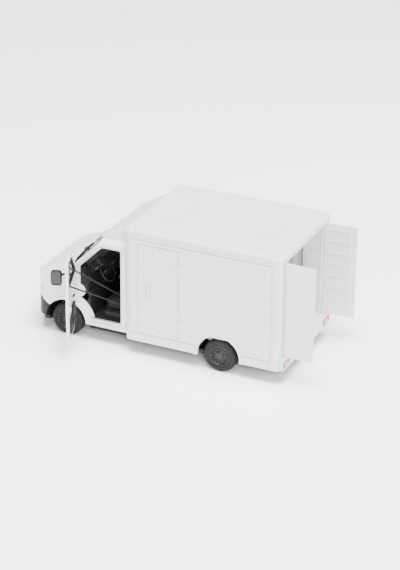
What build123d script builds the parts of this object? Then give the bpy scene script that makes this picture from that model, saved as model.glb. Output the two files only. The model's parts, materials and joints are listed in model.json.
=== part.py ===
from build123d import *
import os
from math import cos, pi, radians, sin, sqrt

os.makedirs("parts", exist_ok=True)

# Toy scale model of a mail delivery truck: a cab with a box body behind it.
# Origin: on the flat underside of the chassis base, on the centre plane, half way
# between the axles. +X runs forward, +Y to the driver's side, +Z up. Millimetres.

# overall sizes
wheelbase = 96.0
cab_back_setback = 39.0
box_length = 93.0
box_width = 70.0
roof_top_z = 70.0
skirt_z = 3.0
nose_overhang = 25.9
cab_width = 63.0
cab_roof_z = 57.2

# wheels and axles
tyre_radius = 9.7
tyre_width = 7.0
rim_radius = 6.3
rim_recess = 1.0
ground_clearance = 5.6
rear_wheel_inset = 1.4
front_wheel_inset = 1.5
axle_radius = 1.0
running_gap = 0.05
axle_bearing_width = 3.0
axle_bearing_half_span = 14.0
front_arch_radius = 12.6
front_arch_rim = 1.1
door_arch_gap = 0.7
rear_arch_radius = 12.7
arch_lip = 1.6
arch_lip_rise = 0.5

# box body
box_wall = 1.5
box_corner_radius = 3.0
roof_cap_height = 2.4
roof_edge_radius = 1.6
hatch_length = 12.4
hatch_width = 25.0
hatch_height = 0.5
hatch_from_rear = 20.4
hatch_from_front = 17.3
groove_width = 0.7
groove_depth = 0.6
doorway_half_width = 31.8
doorway_lintel_z = 65.8
lintel_depth = 7.0
cargo_floor_z = 10.5
cargo_floor_thickness = 1.5
deck_rise = 0.3
wheel_box_height = 5.0
wheel_box_width = 8.4
sill_thickness = 1.6
tail_lamp_length = 8.9
tail_lamp_height = 3.3
tail_lamp_y = 28.9
tail_lamp_z = 6.2

# side door moulded on the driver's side of the box
side_door_from_front = 7.9
side_door_length = 25.2
side_door_low_z = 8.0
side_door_high_z = 62.5
side_hinge_height = 3.0

# rear doors
rear_door_thickness = 1.5
rear_door_gap = 0.3
rear_door_edge_gap = 0.6
rear_pivot_inset = 5.9
rear_pivot_from_jamb = 7.8
rear_pin_radius = 0.9
rear_pin_length = 1.2
rear_door_rib_count = 6
rear_door_edge_radius = 1.2
rear_door_rib = 0.7
rear_door_rib_rise = 0.45
rear_left_open = 94.0
rear_right_open = 92.0

# cab
cab_skin = 1.2
cab_side_thickness = 2.6
cab_sill_z = 4.5
cowl_ahead_of_axle = 1.5
cowl_z = 37.4
windscreen_sag = 2.4
nose_plan_radius = 54.0
nose_corner_radius = 8.0
cab_roof_radius = 3.0
waist_overlap = 6.13
waist_step = 0.1
hood_corner_z = 28.8
hood_nose_radius = 12.0
hood_edge_radius = 9.0
door_setback = 5.0
door_length = 30.2
door_low_z = 5.6
door_high_z = 54.0
door_slope_foot_z = 37.2
door_thickness = 1.6
door_gap = 0.3
frame_overlap_rear = 1.4
frame_overlap_front = 3.4
frame_overlap_low = 2.7
frame_overlap_high = 1.5
frame_overlap_slope = 2.0
door_window_sill_z = 38.5
door_frame_width = 2.6
cab_pin_radius = 0.45
cab_pin_length = 2.6
left_cab_door_open = 70.0
headlamp_y = 25.0
headlamp_z = 22.6
headlamp_width = 12.0
headlamp_height = 7.6
windscreen_margin_low = 3.6
windscreen_margin_high = 4.8
bumper_low_z = 4.2
bumper_high_z = 18.0
bumper_thickness = 2.4
fairing_width = 52.0
fairing_length = 19.0
fairing_back_z = 68.0
cab_floor_z = 8.2
cab_floor_thickness = 1.2
steering_wheel_radius = 6.2
steering_wheel_setback = 18.6
steering_wheel_y = 15.5
steering_wheel_z = 31.9
toe_board_setback = 13.4
steering_rake = 32.0

# chassis base, screws and the wind-up motor on the rear axle
base_thickness = 2.0
base_half_width = 26.5
wheel_gap = 1.1
screw_radius = 0.8
screw_head_radius = 1.7
screw_head_height = 0.9
post_radius = 2.2
gear_module = 0.4
axle_gear_teeth = 12
winding_gear_teeth = 14
gear_width = 2.0
gear_centre_play = 0.12
motor_half_width = 5.0
motor_wall = 0.6
motor_play = 0.5
arbor_radius = 0.6
spring_turns = 3
spring_thickness = 0.16

# places worked out from the sizes above
axle_z = tyre_radius - ground_clearance
rear_axle_x = -wheelbase / 2
front_axle_x = wheelbase / 2
box_front_x = front_axle_x - cab_back_setback
box_rear_x = box_front_x - box_length
box_centre_x = (box_rear_x + box_front_x) / 2
box_half = box_width / 2
seam_z = roof_top_z - roof_cap_height
nose_x = front_axle_x + nose_overhang
cab_half = cab_width / 2
cab_rear_x = box_front_x
cowl_x = front_axle_x + cowl_ahead_of_axle
door_front_x = front_axle_x - door_setback
door_rear_x = door_front_x - door_length
door_slope_sum = door_front_x + door_slope_foot_z
side_door_front_x = box_front_x - side_door_from_front
side_door_rear_x = side_door_front_x - side_door_length
fairing_front_x = box_front_x + fairing_length
rear_track = box_width - 2 * rear_wheel_inset
front_track = cab_width - 2 * front_wheel_inset
rear_tyre_inner = rear_track / 2 - tyre_width
front_tyre_inner = front_track / 2 - tyre_width
floor_low_z = cargo_floor_z - cargo_floor_thickness
sill_rear_x = box_rear_x - sill_thickness
rear_pivot_x = box_rear_x + rear_pivot_inset
rear_pivot_y = doorway_half_width - rear_pivot_from_jamb
rear_door_low_z = cargo_floor_z + rear_door_gap
rear_door_high_z = doorway_lintel_z - rear_door_gap
cab_hinge_x = door_front_x - door_thickness / 2
cab_hinge_y = cab_half - door_thickness / 2
toe_board_x = front_axle_x - toe_board_setback
steering_wheel_centre = (front_axle_x - steering_wheel_setback, steering_wheel_y, steering_wheel_z)
screw_spots = ((box_rear_x + 10, 0), (box_front_x - 27, 16), (box_front_x - 27, -16), (box_front_x + 15, 0))
sides = (("left", 1), ("right", -1))


def save(piece, label):
    piece.part.label = label
    export_step(piece.part, f"parts/{label}.step")


def between(low, high):
    return (low + high) / 2


# leaf_plane lies in a door's own plane through its hinge line: local x runs from the
# hinge to the free edge and the normal points out of the truck. Local y is up on the
# left side and down on the right side, so heights are multiplied by the side.
def leaf_plane(pivot, along, outward):
    return Plane(origin=(pivot[0], pivot[1], 0), x_dir=along, z_dir=outward)


def cab_leaf(side, angle):
    turn = radians(angle)
    along = (-cos(turn), side * sin(turn), 0)
    outward = (sin(turn), side * cos(turn), 0)
    return leaf_plane((cab_hinge_x, side * cab_hinge_y), along, outward)


def rear_leaf(side, angle):
    turn = radians(angle)
    along = (-sin(turn), -side * cos(turn), 0)
    outward = (-cos(turn), side * sin(turn), 0)
    return leaf_plane((rear_pivot_x, side * rear_pivot_y), along, outward)


# cab_body is the closed volume of the cab with its surface moved in by inset: a lower
# body with the bonnet, whose nose is curved in plan, and an upper body whose sloping
# windscreen is part of a wide barrel.
def cab_body(inset):
    half = cab_half - inset
    with BuildPart() as lower:
        with BuildSketch(Plane.XZ) as side_view:
            with BuildLine():
                cowl = (cowl_x, cowl_z)
                nose_brow = (nose_x, 18)
                Polyline((cab_rear_x, cab_sill_z), (cab_rear_x, cowl_z), cowl)
                FilletPolyline(cowl, (nose_x - 3.3, hood_corner_z), nose_brow, radius=hood_nose_radius)
                Polyline(nose_brow, (nose_x, cab_sill_z), (cab_rear_x, cab_sill_z))
            make_face()
            if inset:
                offset(amount=-inset, kind=Kind.INTERSECTION)
        extrude(amount=half, both=True)
        long_edges = lower.edges().filter_by(lambda e: abs(abs(e.center().Y) - half) < 0.01)
        top_edges = long_edges.filter_by(lambda e: e.center().Z > 20 and e.center().X > cowl_x)
        fillet(top_edges, hood_edge_radius - inset)
        with BuildSketch(Plane.XY) as plan_view:
            with BuildLine():
                shoulder = nose_x - nose_plan_radius + sqrt(nose_plan_radius**2 - cab_half**2)
                Polyline((shoulder, -cab_half), (cab_rear_x, -cab_half), (cab_rear_x, cab_half),
                         (shoulder, cab_half))
                ThreePointArc((shoulder, cab_half), (nose_x, 0), (shoulder, -cab_half))
            make_face()
            front = plan_view.vertices().filter_by(lambda v: v.X > shoulder - 1)
            fillet(front, nose_corner_radius)
            if inset:
                offset(amount=-inset, kind=Kind.INTERSECTION)
        extrude(amount=roof_top_z, mode=Mode.INTERSECT)
    with BuildPart() as upper:
        roof_z = cab_roof_z - inset
        rear_x = cab_rear_x + inset
        slope_sum = cowl_x + cowl_z - 1.5 - inset * sqrt(2)
        low_z = cowl_z - waist_overlap
        with BuildSketch(Plane.XZ):
            Polygon((rear_x, low_z), (slope_sum - low_z, low_z), (slope_sum - roof_z, roof_z),
                    (rear_x, roof_z), align=None)
        extrude(amount=half - waist_step, both=True)
        roof_edges = upper.edges().filter_by(Axis.X).group_by(Axis.Z)[-1]
        fillet(roof_edges, cab_roof_radius - inset)
        # the barrel's axis follows the slope of the windscreen
        slope = Plane(origin=(slope_sum - roof_z, 0, roof_z), x_dir=(0, 1, 0), z_dir=(1, 0, -1))
        barrel_radius = (cab_half**2 + windscreen_sag**2) / (2 * windscreen_sag)
        with BuildSketch(slope):
            with Locations((0, -barrel_radius)):
                Circle(barrel_radius)
        extrude(amount=cab_roof_z, both=True, mode=Mode.INTERSECT)
    return lower.part + upper.part


cab_outer = cab_body(0.0)
cab_glazing = cab_body(0.3)
cab_inner = cab_body(cab_skin)


# door_outline draws a cab door's edge line in side view, grown by grow on every edge.
def door_outline(grow, rear=0.0, front=0.0, low=0.0, high=0.0, slope=0.0):
    rear_x = door_rear_x - grow + rear
    front_x = door_front_x + grow - front
    low_z = door_low_z - grow + low
    high_z = door_high_z + grow - high
    edge_sum = door_slope_sum + grow * sqrt(2) - slope
    Polygon((rear_x, low_z), (front_x, low_z), (front_x, edge_sum - front_x),
            (edge_sum - high_z, high_z), (rear_x, high_z), align=None)


with BuildPart() as chassis_base:
    base_rear_x = box_rear_x + 2 * box_wall
    base_front_x = nose_x - nose_corner_radius
    with BuildSketch():
        with Locations((between(base_rear_x, base_front_x), 0)):
            Rectangle(base_front_x - base_rear_x, 2 * base_half_width)
        for axle_x, inner in ((rear_axle_x, rear_tyre_inner), (front_axle_x, front_tyre_inner)):
            with Locations((axle_x, box_half), (axle_x, -box_half)):
                Rectangle(2 * front_arch_radius, 2 * (box_half - inner + wheel_gap), mode=Mode.SUBTRACT)
        with Locations((rear_axle_x + motor_half_width - 1.0, 0)):
            Rectangle(18.0, 2 * motor_half_width + 1.0, mode=Mode.SUBTRACT)
    extrude(amount=base_thickness)
    fillet(chassis_base.edges().filter_by(Axis.Z).group_by(Axis.X)[-1], 3.0)
    for axle_x in (rear_axle_x, front_axle_x):
        for bearing_y in (-axle_bearing_half_span, axle_bearing_half_span):
            with BuildSketch(Plane.XY.offset(base_thickness)):
                with Locations((axle_x, bearing_y)):
                    Rectangle(4.4, axle_bearing_width)
            extrude(amount=axle_z + 2 * axle_radius - base_thickness)
        with BuildSketch(Plane.XZ):
            with Locations((axle_x, axle_z)):
                Circle(axle_radius + running_gap)
        extrude(amount=box_half, both=True, mode=Mode.SUBTRACT)
    with Locations(*[(x, y, 0) for x, y in screw_spots]):
        Cylinder(screw_head_radius + 0.1, screw_head_height, align=(Align.CENTER, Align.CENTER, Align.MIN),
                 mode=Mode.SUBTRACT)
        Cylinder(screw_radius + 0.1, base_thickness, align=(Align.CENTER, Align.CENTER, Align.MIN),
                 mode=Mode.SUBTRACT)
save(chassis_base, "chassis_base")

with BuildPart() as chassis_screws:
    with Locations(*[(x, y, 0.1) for x, y in screw_spots]):
        Cylinder(screw_head_radius, screw_head_height - 0.1, align=(Align.CENTER, Align.CENTER, Align.MIN))
        Box(2.4, 0.45, 0.9, align=(Align.CENTER, Align.CENTER, Align.CENTER), mode=Mode.SUBTRACT)
    with Locations(*[(x, y, screw_head_height) for x, y in screw_spots]):
        Cylinder(screw_radius, 6.0, align=(Align.CENTER, Align.CENTER, Align.MIN))
save(chassis_screws, "chassis_screws")

# wheels: a rod axle, and on each end a dished hub with slots round its cap inside a tyre
for axle_name, axle_x, track in (("front", front_axle_x, front_track), ("rear", rear_axle_x, rear_track)):
    across = Plane(origin=(axle_x, 0, axle_z), x_dir=(1, 0, 0), z_dir=(0, 1, 0))
    with BuildPart() as axle:
        with BuildSketch(across):
            Circle(axle_radius)
        extrude(amount=track / 2 - rim_recess - 1.2, both=True)
    save(axle, f"{axle_name}_axle")
    for side_name, side in sides:
        face = Plane(origin=(axle_x, side * track / 2, axle_z), x_dir=(1, 0, 0), z_dir=(0, side, 0))
        with BuildPart() as hub:
            with BuildSketch(face.offset(-tyre_width + 0.8)):
                Circle(rim_radius)
            extrude(amount=tyre_width - 0.8 - 0.2)
            with BuildSketch(face.offset(-rim_recess)):
                Circle(rim_radius - 0.7)
            extrude(amount=rim_recess, mode=Mode.SUBTRACT)
            with BuildSketch(face.offset(-rim_recess - 0.7)):
                with PolarLocations(4.3, 16):
                    Rectangle(1.3, 0.75)
            extrude(amount=0.7, mode=Mode.SUBTRACT)
            with BuildSketch(face.offset(-rim_recess)):
                Circle(2.4)
            extrude(amount=0.9)
            fillet(hub.faces().filter_by(Plane.XZ).sort_by(Axis.Y)[-1 if side > 0 else 0].edges(), 0.1)
            with BuildSketch(face.offset(-tyre_width)):
                Circle(rim_radius - 1.2)
            extrude(amount=tyre_width / 2, mode=Mode.SUBTRACT)
            with BuildSketch(face.offset(-tyre_width + 1.6)):
                Circle(2.2)
            extrude(amount=tyre_width - 1.6 - rim_recess - 0.4)
            with BuildSketch(face.offset(-tyre_width)):
                Circle(axle_radius)
            extrude(amount=tyre_width - rim_recess - 1.2, mode=Mode.SUBTRACT)
        save(hub, f"{axle_name}_{side_name}_hub")
        with BuildPart() as tyre:
            with BuildSketch(face.offset(-tyre_width)):
                Circle(tyre_radius)
                Circle(rim_radius, mode=Mode.SUBTRACT)
            extrude(amount=tyre_width)
            fillet(tyre.edges().filter_by(GeomType.CIRCLE).sort_by(SortBy.RADIUS)[-2:], 1.0)
        save(tyre, f"{axle_name}_{side_name}_tyre")


# gear_face is a small spur gear's outline: a root disc with tapered teeth, the first
# tooth turned by phase degrees, and a bore
def gear_face(teeth, phase, bore):
    pitch_radius = gear_module * teeth / 2
    root_radius = pitch_radius - 1.15 * gear_module
    tooth_height = 2.0 * gear_module
    Circle(root_radius)
    with PolarLocations(root_radius + tooth_height / 2 - 0.05, teeth, start_angle=phase):
        Trapezoid(1.85 * gear_module, tooth_height + 0.1, 73, rotation=-90)
    Circle(bore, mode=Mode.SUBTRACT)


axle_gear_radius = gear_module * axle_gear_teeth / 2
winding_gear_radius = gear_module * winding_gear_teeth / 2
winding_x = rear_axle_x + axle_gear_radius + winding_gear_radius + gear_centre_play
motor_mid = Plane(origin=(rear_axle_x, 0, axle_z), x_dir=(1, 0, 0), z_dir=(0, -1, 0))
winding_mid = Plane(origin=(winding_x, 0, axle_z), x_dir=(1, 0, 0), z_dir=(0, -1, 0))

with BuildPart() as axle_gear:
    with BuildSketch(motor_mid):
        gear_face(axle_gear_teeth, 0, axle_radius)
    extrude(amount=gear_width)
save(axle_gear, "axle_gear")

with BuildPart() as winding_gear:
    with BuildSketch(winding_mid):
        gear_face(winding_gear_teeth, 180 / winding_gear_teeth, arbor_radius / 2)
    extrude(amount=gear_width)
    with BuildSketch(winding_mid.offset(-motor_half_width + motor_wall / 2)):
        Circle(arbor_radius)
    extrude(amount=2 * motor_half_width - motor_wall)
save(winding_gear, "winding_gear")

with BuildPart() as mainspring:
    with BuildSketch(winding_mid.offset(-motor_half_width + 2 * motor_wall)):
        spring_pitch = (winding_gear_radius - arbor_radius - 0.4) / spring_turns
        turns = [spring_turns * i / (12 * spring_turns) for i in range(12 * spring_turns + 1)]
        inner_radii = [arbor_radius + spring_pitch * t for t in turns]
        with BuildLine():
            inner = [(r * cos(2 * pi * t), r * sin(2 * pi * t)) for r, t in zip(inner_radii, turns)]
            outer = [((r + spring_thickness) * cos(2 * pi * t), (r + spring_thickness) * sin(2 * pi * t))
                     for r, t in zip(inner_radii, turns)]
            Spline(*inner)
            Spline(*outer)
            Line(inner[0], outer[0])
            Line(inner[-1], outer[-1])
        make_face()
    extrude(amount=motor_half_width - 2 * motor_wall - 0.4)
save(mainspring, "mainspring")

# the motor's case: two halves that meet on a plane across the axle
motor_front_x = winding_x + winding_gear_radius + gear_module + motor_play + motor_wall
motor_rear_x = rear_axle_x - axle_gear_radius - gear_module - motor_play - motor_wall
motor_low_z = axle_z - winding_gear_radius - 0.85 * gear_module - motor_play / 2 - motor_wall
motor_high_z = floor_low_z - 0.2
for case_name, case_side in sides:
    with BuildPart() as motor_case:
        with BuildSketch(Plane.XZ):
            with Locations((between(motor_rear_x, motor_front_x), between(motor_low_z, motor_high_z))):
                RectangleRounded(motor_front_x - motor_rear_x, motor_high_z - motor_low_z, 1.0)
        extrude(amount=-case_side * motor_half_width)
        with BuildSketch(Plane.XZ):
            with Locations((between(motor_rear_x, motor_front_x), between(motor_low_z, motor_high_z))):
                RectangleRounded(motor_front_x - motor_rear_x - 2 * motor_wall,
                                 motor_high_z - motor_low_z - 2 * motor_wall, 0.5)
        extrude(amount=-case_side * (motor_half_width - motor_wall), mode=Mode.SUBTRACT)
        with BuildSketch(Plane.XZ):
            with Locations((rear_axle_x, axle_z)):
                Circle(axle_radius + 0.15)
        extrude(amount=-case_side * motor_half_width, mode=Mode.SUBTRACT)
        with BuildSketch(Plane.XZ):
            with Locations((winding_x, axle_z)):
                Circle(arbor_radius + running_gap)
        extrude(amount=-case_side * motor_half_width, mode=Mode.SUBTRACT)
    save(motor_case, f"motor_case_{case_name}")

with BuildPart() as box_body:
    with BuildSketch(Plane.XY.offset(skirt_z)):
        with Locations((box_centre_x, 0)):
            RectangleRounded(box_length, box_width, box_corner_radius)
    extrude(amount=seam_z - skirt_z)
    with BuildSketch(Plane.XY.offset(skirt_z)):
        with Locations((box_centre_x, 0)):
            RectangleRounded(box_length - 2 * box_wall, box_width - 2 * box_wall,
                             box_corner_radius - box_wall)
    extrude(amount=seam_z - skirt_z, mode=Mode.SUBTRACT)
    # deep lintel over the doorway, which holds the rear doors' upper pivots
    with BuildSketch(Plane.XY.offset(doorway_lintel_z)):
        with Locations((box_rear_x + box_wall + lintel_depth / 2, 0)):
            Rectangle(lintel_depth, box_width - 2 * box_wall)
    extrude(amount=seam_z - doorway_lintel_z)
    with BuildSketch(Plane.YZ.offset(box_rear_x)):
        with Locations((0, between(cargo_floor_z, doorway_lintel_z))):
            Rectangle(2 * doorway_half_width, doorway_lintel_z - cargo_floor_z)
    extrude(amount=box_corner_radius - 0.5, mode=Mode.SUBTRACT)
    with Locations(*[(rear_pivot_x, s * rear_pivot_y, doorway_lintel_z) for s in (1, -1)]):
        Cylinder(rear_pin_radius + running_gap, 2 * rear_pin_length, mode=Mode.SUBTRACT)
    # wheel arches, each with a raised lip
    for arch_side in (1, -1):
        arch_plane = Plane(origin=(rear_axle_x, arch_side * box_half, axle_z), x_dir=(1, 0, 0),
                           z_dir=(0, arch_side, 0))
        with BuildSketch(arch_plane):
            Circle(rear_arch_radius + arch_lip)
            with Locations((0, arch_side * (rear_arch_radius + axle_z - skirt_z))):
                Rectangle(3 * rear_arch_radius, 2 * rear_arch_radius, mode=Mode.SUBTRACT)
        extrude(amount=arch_lip_rise)
        with BuildSketch(arch_plane.offset(arch_lip_rise)):
            Circle(rear_arch_radius)
        extrude(amount=-box_wall - arch_lip_rise, mode=Mode.SUBTRACT)
    # shallow border lines on both side walls
    border_rear_x = box_rear_x + 5.5
    border_front_x = box_front_x - 3.0
    border_low_z = skirt_z + 5.0
    border_high_z = seam_z - 3.0
    for wall_side in (1, -1):
        wall_plane = Plane(origin=(0, wall_side * box_half, 0), x_dir=(1, 0, 0), z_dir=(0, wall_side, 0))
        with BuildSketch(wall_plane):
            for line_x in (border_rear_x, border_front_x):
                with Locations((line_x, -wall_side * between(border_low_z, border_high_z))):
                    Rectangle(groove_width, border_high_z - border_low_z)
            with Locations((between(border_rear_x, border_front_x), -wall_side * border_high_z)):
                Rectangle(border_front_x - border_rear_x, groove_width)
            for span in ((border_rear_x, rear_axle_x - rear_arch_radius - 2),
                         (rear_axle_x + rear_arch_radius + 2, border_front_x)):
                with Locations((between(*span), -wall_side * border_low_z)):
                    Rectangle(span[1] - span[0], groove_width)
        extrude(amount=-groove_depth, mode=Mode.SUBTRACT)
    # side door, moulded shut: an outline groove, two hinge blocks and a handle bar
    door_plane = Plane(origin=(0, box_half, 0), x_dir=(-1, 0, 0), z_dir=(0, 1, 0))
    with BuildSketch(door_plane):
        with Locations((-between(side_door_rear_x, side_door_front_x),
                        between(side_door_low_z, side_door_high_z))):
            Rectangle(side_door_front_x - side_door_rear_x, side_door_high_z - side_door_low_z)
            Rectangle(side_door_front_x - side_door_rear_x - 2 * groove_width,
                      side_door_high_z - side_door_low_z - 2 * groove_width, mode=Mode.SUBTRACT)
        for dish_x in (side_door_front_x - 5.4, side_door_front_x - 7.6):
            with Locations((-dish_x, 34.8)):
                Rectangle(1.0, 8.0)
    extrude(amount=-groove_depth, mode=Mode.SUBTRACT)
    with BuildSketch(door_plane):
        with Locations((-side_door_rear_x, 51.8), (-side_door_rear_x, 17.6)):
            Rectangle(2.4, side_hinge_height)
    extrude(amount=0.8)
save(box_body, "box_body")

with BuildPart() as box_roof:
    with BuildSketch(Plane.XY.offset(seam_z)):
        with Locations((box_centre_x, 0)):
            RectangleRounded(box_length + 0.6, box_width + 0.6, box_corner_radius)
    extrude(amount=roof_cap_height)
    fillet(box_roof.faces().sort_by(Axis.Z)[-1].edges(), roof_edge_radius)
    with BuildSketch(Plane.XY.offset(roof_top_z)):
        with Locations(*[(x, 0) for x in (box_rear_x + hatch_from_rear, box_front_x - hatch_from_front)]):
            RectangleRounded(hatch_length, hatch_width, 0.8)
    extrude(amount=hatch_height)
save(box_roof, "box_roof")

with BuildPart() as cargo_floor:
    deck_rear_x = box_rear_x + 16.0
    deck_front_x = box_front_x - 4.5
    deck_half = box_half - box_wall - wheel_box_width - 2.0
    floor_front_x = box_front_x - box_wall
    floor_rear_x = box_rear_x + box_wall
    floor_half = box_half - box_wall
    with BuildSketch(Plane.XY.offset(floor_low_z)):
        with Locations((between(floor_rear_x, floor_front_x), 0)):
            Rectangle(floor_front_x - floor_rear_x, 2 * floor_half)
    extrude(amount=cargo_floor_thickness)
    fillet(cargo_floor.edges().filter_by(Axis.Z), box_corner_radius - box_wall)
    # raised deck for parcels between the wheel boxes
    with BuildSketch(Plane.XY.offset(cargo_floor_z)):
        with Locations((between(deck_rear_x, deck_front_x), 0)):
            RectangleRounded(deck_front_x - deck_rear_x, 2 * deck_half, 1.5)
    extrude(amount=deck_rise)
    # boxes over the rear wheels
    for wheel_side in (1, -1):
        with BuildSketch(Plane.XY.offset(floor_low_z)):
            with Locations((rear_axle_x, wheel_side * (floor_half - wheel_box_width / 2))):
                Rectangle(2 * rear_arch_radius, wheel_box_width)
        extrude(amount=cargo_floor_thickness + wheel_box_height)
        with BuildSketch(Plane.XY.offset(floor_low_z)):
            with Locations((rear_axle_x, wheel_side * (floor_half - wheel_box_width / 2 + 1.2 / 2))):
                Rectangle(2 * rear_arch_radius - 2.4, wheel_box_width - 1.2)
        extrude(amount=cargo_floor_thickness + wheel_box_height - 1.2, mode=Mode.SUBTRACT)
    with Locations(*[(x, y, base_thickness) for x, y in screw_spots[:3]]):
        Cylinder(post_radius, floor_low_z - base_thickness, align=(Align.CENTER, Align.CENTER, Align.MIN))
        Cylinder(screw_radius, floor_low_z - base_thickness, align=(Align.CENTER, Align.CENTER, Align.MIN),
                 mode=Mode.SUBTRACT)
    with Locations((rear_pivot_x, rear_pivot_y, cargo_floor_z), (rear_pivot_x, -rear_pivot_y, cargo_floor_z)):
        Cylinder(rear_pin_radius + running_gap, 2 * rear_pin_length, mode=Mode.SUBTRACT)
save(cargo_floor, "cargo_floor")

with BuildPart() as rear_sill:
    sill_top_z = cargo_floor_z - 0.3
    with BuildSketch(Plane.YZ.offset(sill_rear_x)):
        with Locations((0, between(skirt_z, sill_top_z))):
            RectangleRounded(box_width - 2.4, sill_top_z - skirt_z, 0.8)
    extrude(amount=sill_thickness)
    with BuildSketch(Plane.YZ.offset(sill_rear_x)):
        for lamp_y in (tail_lamp_y, -tail_lamp_y):
            with Locations((lamp_y, tail_lamp_z)):
                Rectangle(tail_lamp_length, tail_lamp_height)
        with Locations((0, 6.6)):
            Rectangle(9.0, 1.2)
    extrude(amount=sill_thickness / 2, mode=Mode.SUBTRACT)
save(rear_sill, "rear_sill")

for side_name, side in sides:
    with BuildPart() as tail_lamp:
        with BuildSketch(Plane.YZ.offset(sill_rear_x - 0.3)):
            with Locations((side * tail_lamp_y, tail_lamp_z)):
                Rectangle(tail_lamp_length, tail_lamp_height)
        extrude(amount=0.3 + sill_thickness / 2)
    save(tail_lamp, f"tail_lamp_{side_name}")

# rear doors: the leaf and the two pivot ears on its inner face
rear_leaf_hinge_side = rear_pivot_from_jamb - rear_door_edge_gap
rear_leaf_free_side = rear_pivot_y - 0.3
rear_leaf_length = rear_leaf_free_side + rear_leaf_hinge_side
rear_leaf_height = rear_door_high_z - rear_door_low_z
rear_ear_length = rear_pivot_inset - rear_door_thickness + 0.3
rear_ear_height = 2.0
for side_name, side in sides:
    open_angle = rear_left_open if side > 0 else rear_right_open
    leaf = rear_leaf(side, open_angle)
    mid_z = side * between(rear_door_low_z, rear_door_high_z)
    with BuildPart() as rear_door:
        with BuildSketch(leaf.offset(rear_pivot_inset - rear_door_thickness)):
            with Locations((between(-rear_leaf_hinge_side, rear_leaf_free_side), mid_z)):
                Rectangle(rear_leaf_length, rear_leaf_height)
        extrude(amount=rear_door_thickness)
        hinge_edges = rear_door.edges().filter_by(Axis.Z)
        near_pivot = hinge_edges.sort_by(lambda e: leaf.to_local_coords(e.center()).X)[:2]
        fillet(near_pivot.sort_by(lambda e: leaf.to_local_coords(e.center()).Z)[-1:], rear_door_edge_radius)
        # inner face: two raised ladders, one each side of the pivot line
        frame_low = rear_door_low_z + 3.0
        frame_high = rear_door_high_z - 3.0
        rib_step = (frame_high - frame_low) / (rear_door_rib_count + 1)
        frame_end = rear_leaf_free_side - 3.9
        inner_face = leaf.offset(rear_pivot_inset - rear_door_thickness)
        with BuildSketch(inner_face):
            for start_x, end_x in ((-0.7 * rear_leaf_hinge_side, 3.4), (rear_pivot_inset, frame_end)):
                for bar_x in (start_x, end_x):
                    with Locations((bar_x, mid_z)):
                        Rectangle(rear_door_rib, frame_high - frame_low)
                for rib in range(rear_door_rib_count + 1):
                    with Locations((between(start_x, end_x), side * (frame_high - rib * rib_step))):
                        Rectangle(end_x - start_x + rear_door_rib, rear_door_rib)
        extrude(amount=-rear_door_rib_rise)
        for ear_z, reach in ((rear_door_low_z, 1), (rear_door_high_z, -1)):
            with BuildSketch(Plane.XY.offset(ear_z)):
                with Locations((rear_pivot_x, side * rear_pivot_y)):
                    Circle(rear_pin_radius + 0.5)
            extrude(amount=reach * rear_ear_height)
            # bracket from the pivot to the leaf
            with BuildSketch(Plane(origin=(rear_pivot_x, side * rear_pivot_y, ear_z), x_dir=leaf.z_dir,
                                   z_dir=(0, 0, 1))):
                with Locations((rear_ear_length / 2, 0)):
                    Rectangle(rear_ear_length, 2 * rear_pin_radius + 1.0)
            extrude(amount=reach * rear_ear_height)
            with BuildSketch(Plane.XY.offset(ear_z - reach * (rear_pin_length - 0.1))):
                with Locations((rear_pivot_x, side * rear_pivot_y)):
                    Circle(rear_pin_radius)
            extrude(amount=reach * (rear_pin_length + 1.0))
    save(rear_door, f"{side_name}_rear_door")

with BuildPart() as rear_door_handle:
    handle_leaf = rear_leaf(-1, rear_right_open)
    handle_spot = (rear_leaf_free_side - 1.6, -between(rear_door_low_z, rear_door_high_z))
    with BuildSketch(handle_leaf.offset(rear_pivot_inset)):
        with Locations(handle_spot):
            Circle(0.6)
    extrude(amount=1.2)
    with BuildSketch(handle_leaf.offset(rear_pivot_inset + 1.0)):
        with Locations(handle_spot):
            RectangleRounded(1.6, 2.4, 0.6)
    extrude(amount=1.2)
save(rear_door_handle, "rear_door_handle")

# bumper_block is the block at the foot of the nose that the bumper fills
with BuildPart() as bumper_block:
    with BuildSketch(Plane.XZ):
        Polygon((front_axle_x, bumper_low_z), (nose_x + 5, bumper_low_z), (nose_x + 5, bumper_high_z),
                (nose_x - 7.0, bumper_high_z), (nose_x - 15.0, 12.0), (front_axle_x, 12.0), align=None)
    extrude(amount=cab_half + 5, both=True)

with BuildPart() as lamp_blocks:
    for side_name, side in sides:
        with BuildSketch(Plane.YZ.offset(nose_x - 15)):
            with Locations((side * headlamp_y, headlamp_z)):
                RectangleRounded(headlamp_width, headlamp_height, 2.0)
        extrude(amount=20)

with BuildPart() as grille_block:
    with BuildSketch(Plane.YZ.offset(nose_x - 8)):
        with Locations((0, 21.8)):
            RectangleRounded(30.0, 6.4, 1.4)
    extrude(amount=12)

windscreen_slope_sum = cowl_x + cowl_z - 1.5
glass_plane = Plane(origin=(between(windscreen_slope_sum - cab_roof_z, cowl_x), 0,
                            windscreen_slope_sum - between(windscreen_slope_sum - cab_roof_z, cowl_x)),
                    x_dir=(0, 1, 0), z_dir=(1, 0, 1))
screen_low_half = cab_half - windscreen_margin_low
screen_high_half = cab_half - windscreen_margin_high
with BuildPart() as windscreen_block:
    with BuildSketch(glass_plane):
        Polygon((-screen_low_half, -11.0), (screen_low_half, -11.0), (screen_high_half, 12.0),
                (-screen_high_half, 12.0), align=None)
    extrude(amount=4.5, both=True)
    fillet(windscreen_block.edges().filter_by(Axis((0, 0, 0), (1, 0, 1))), 2.0)

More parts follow.
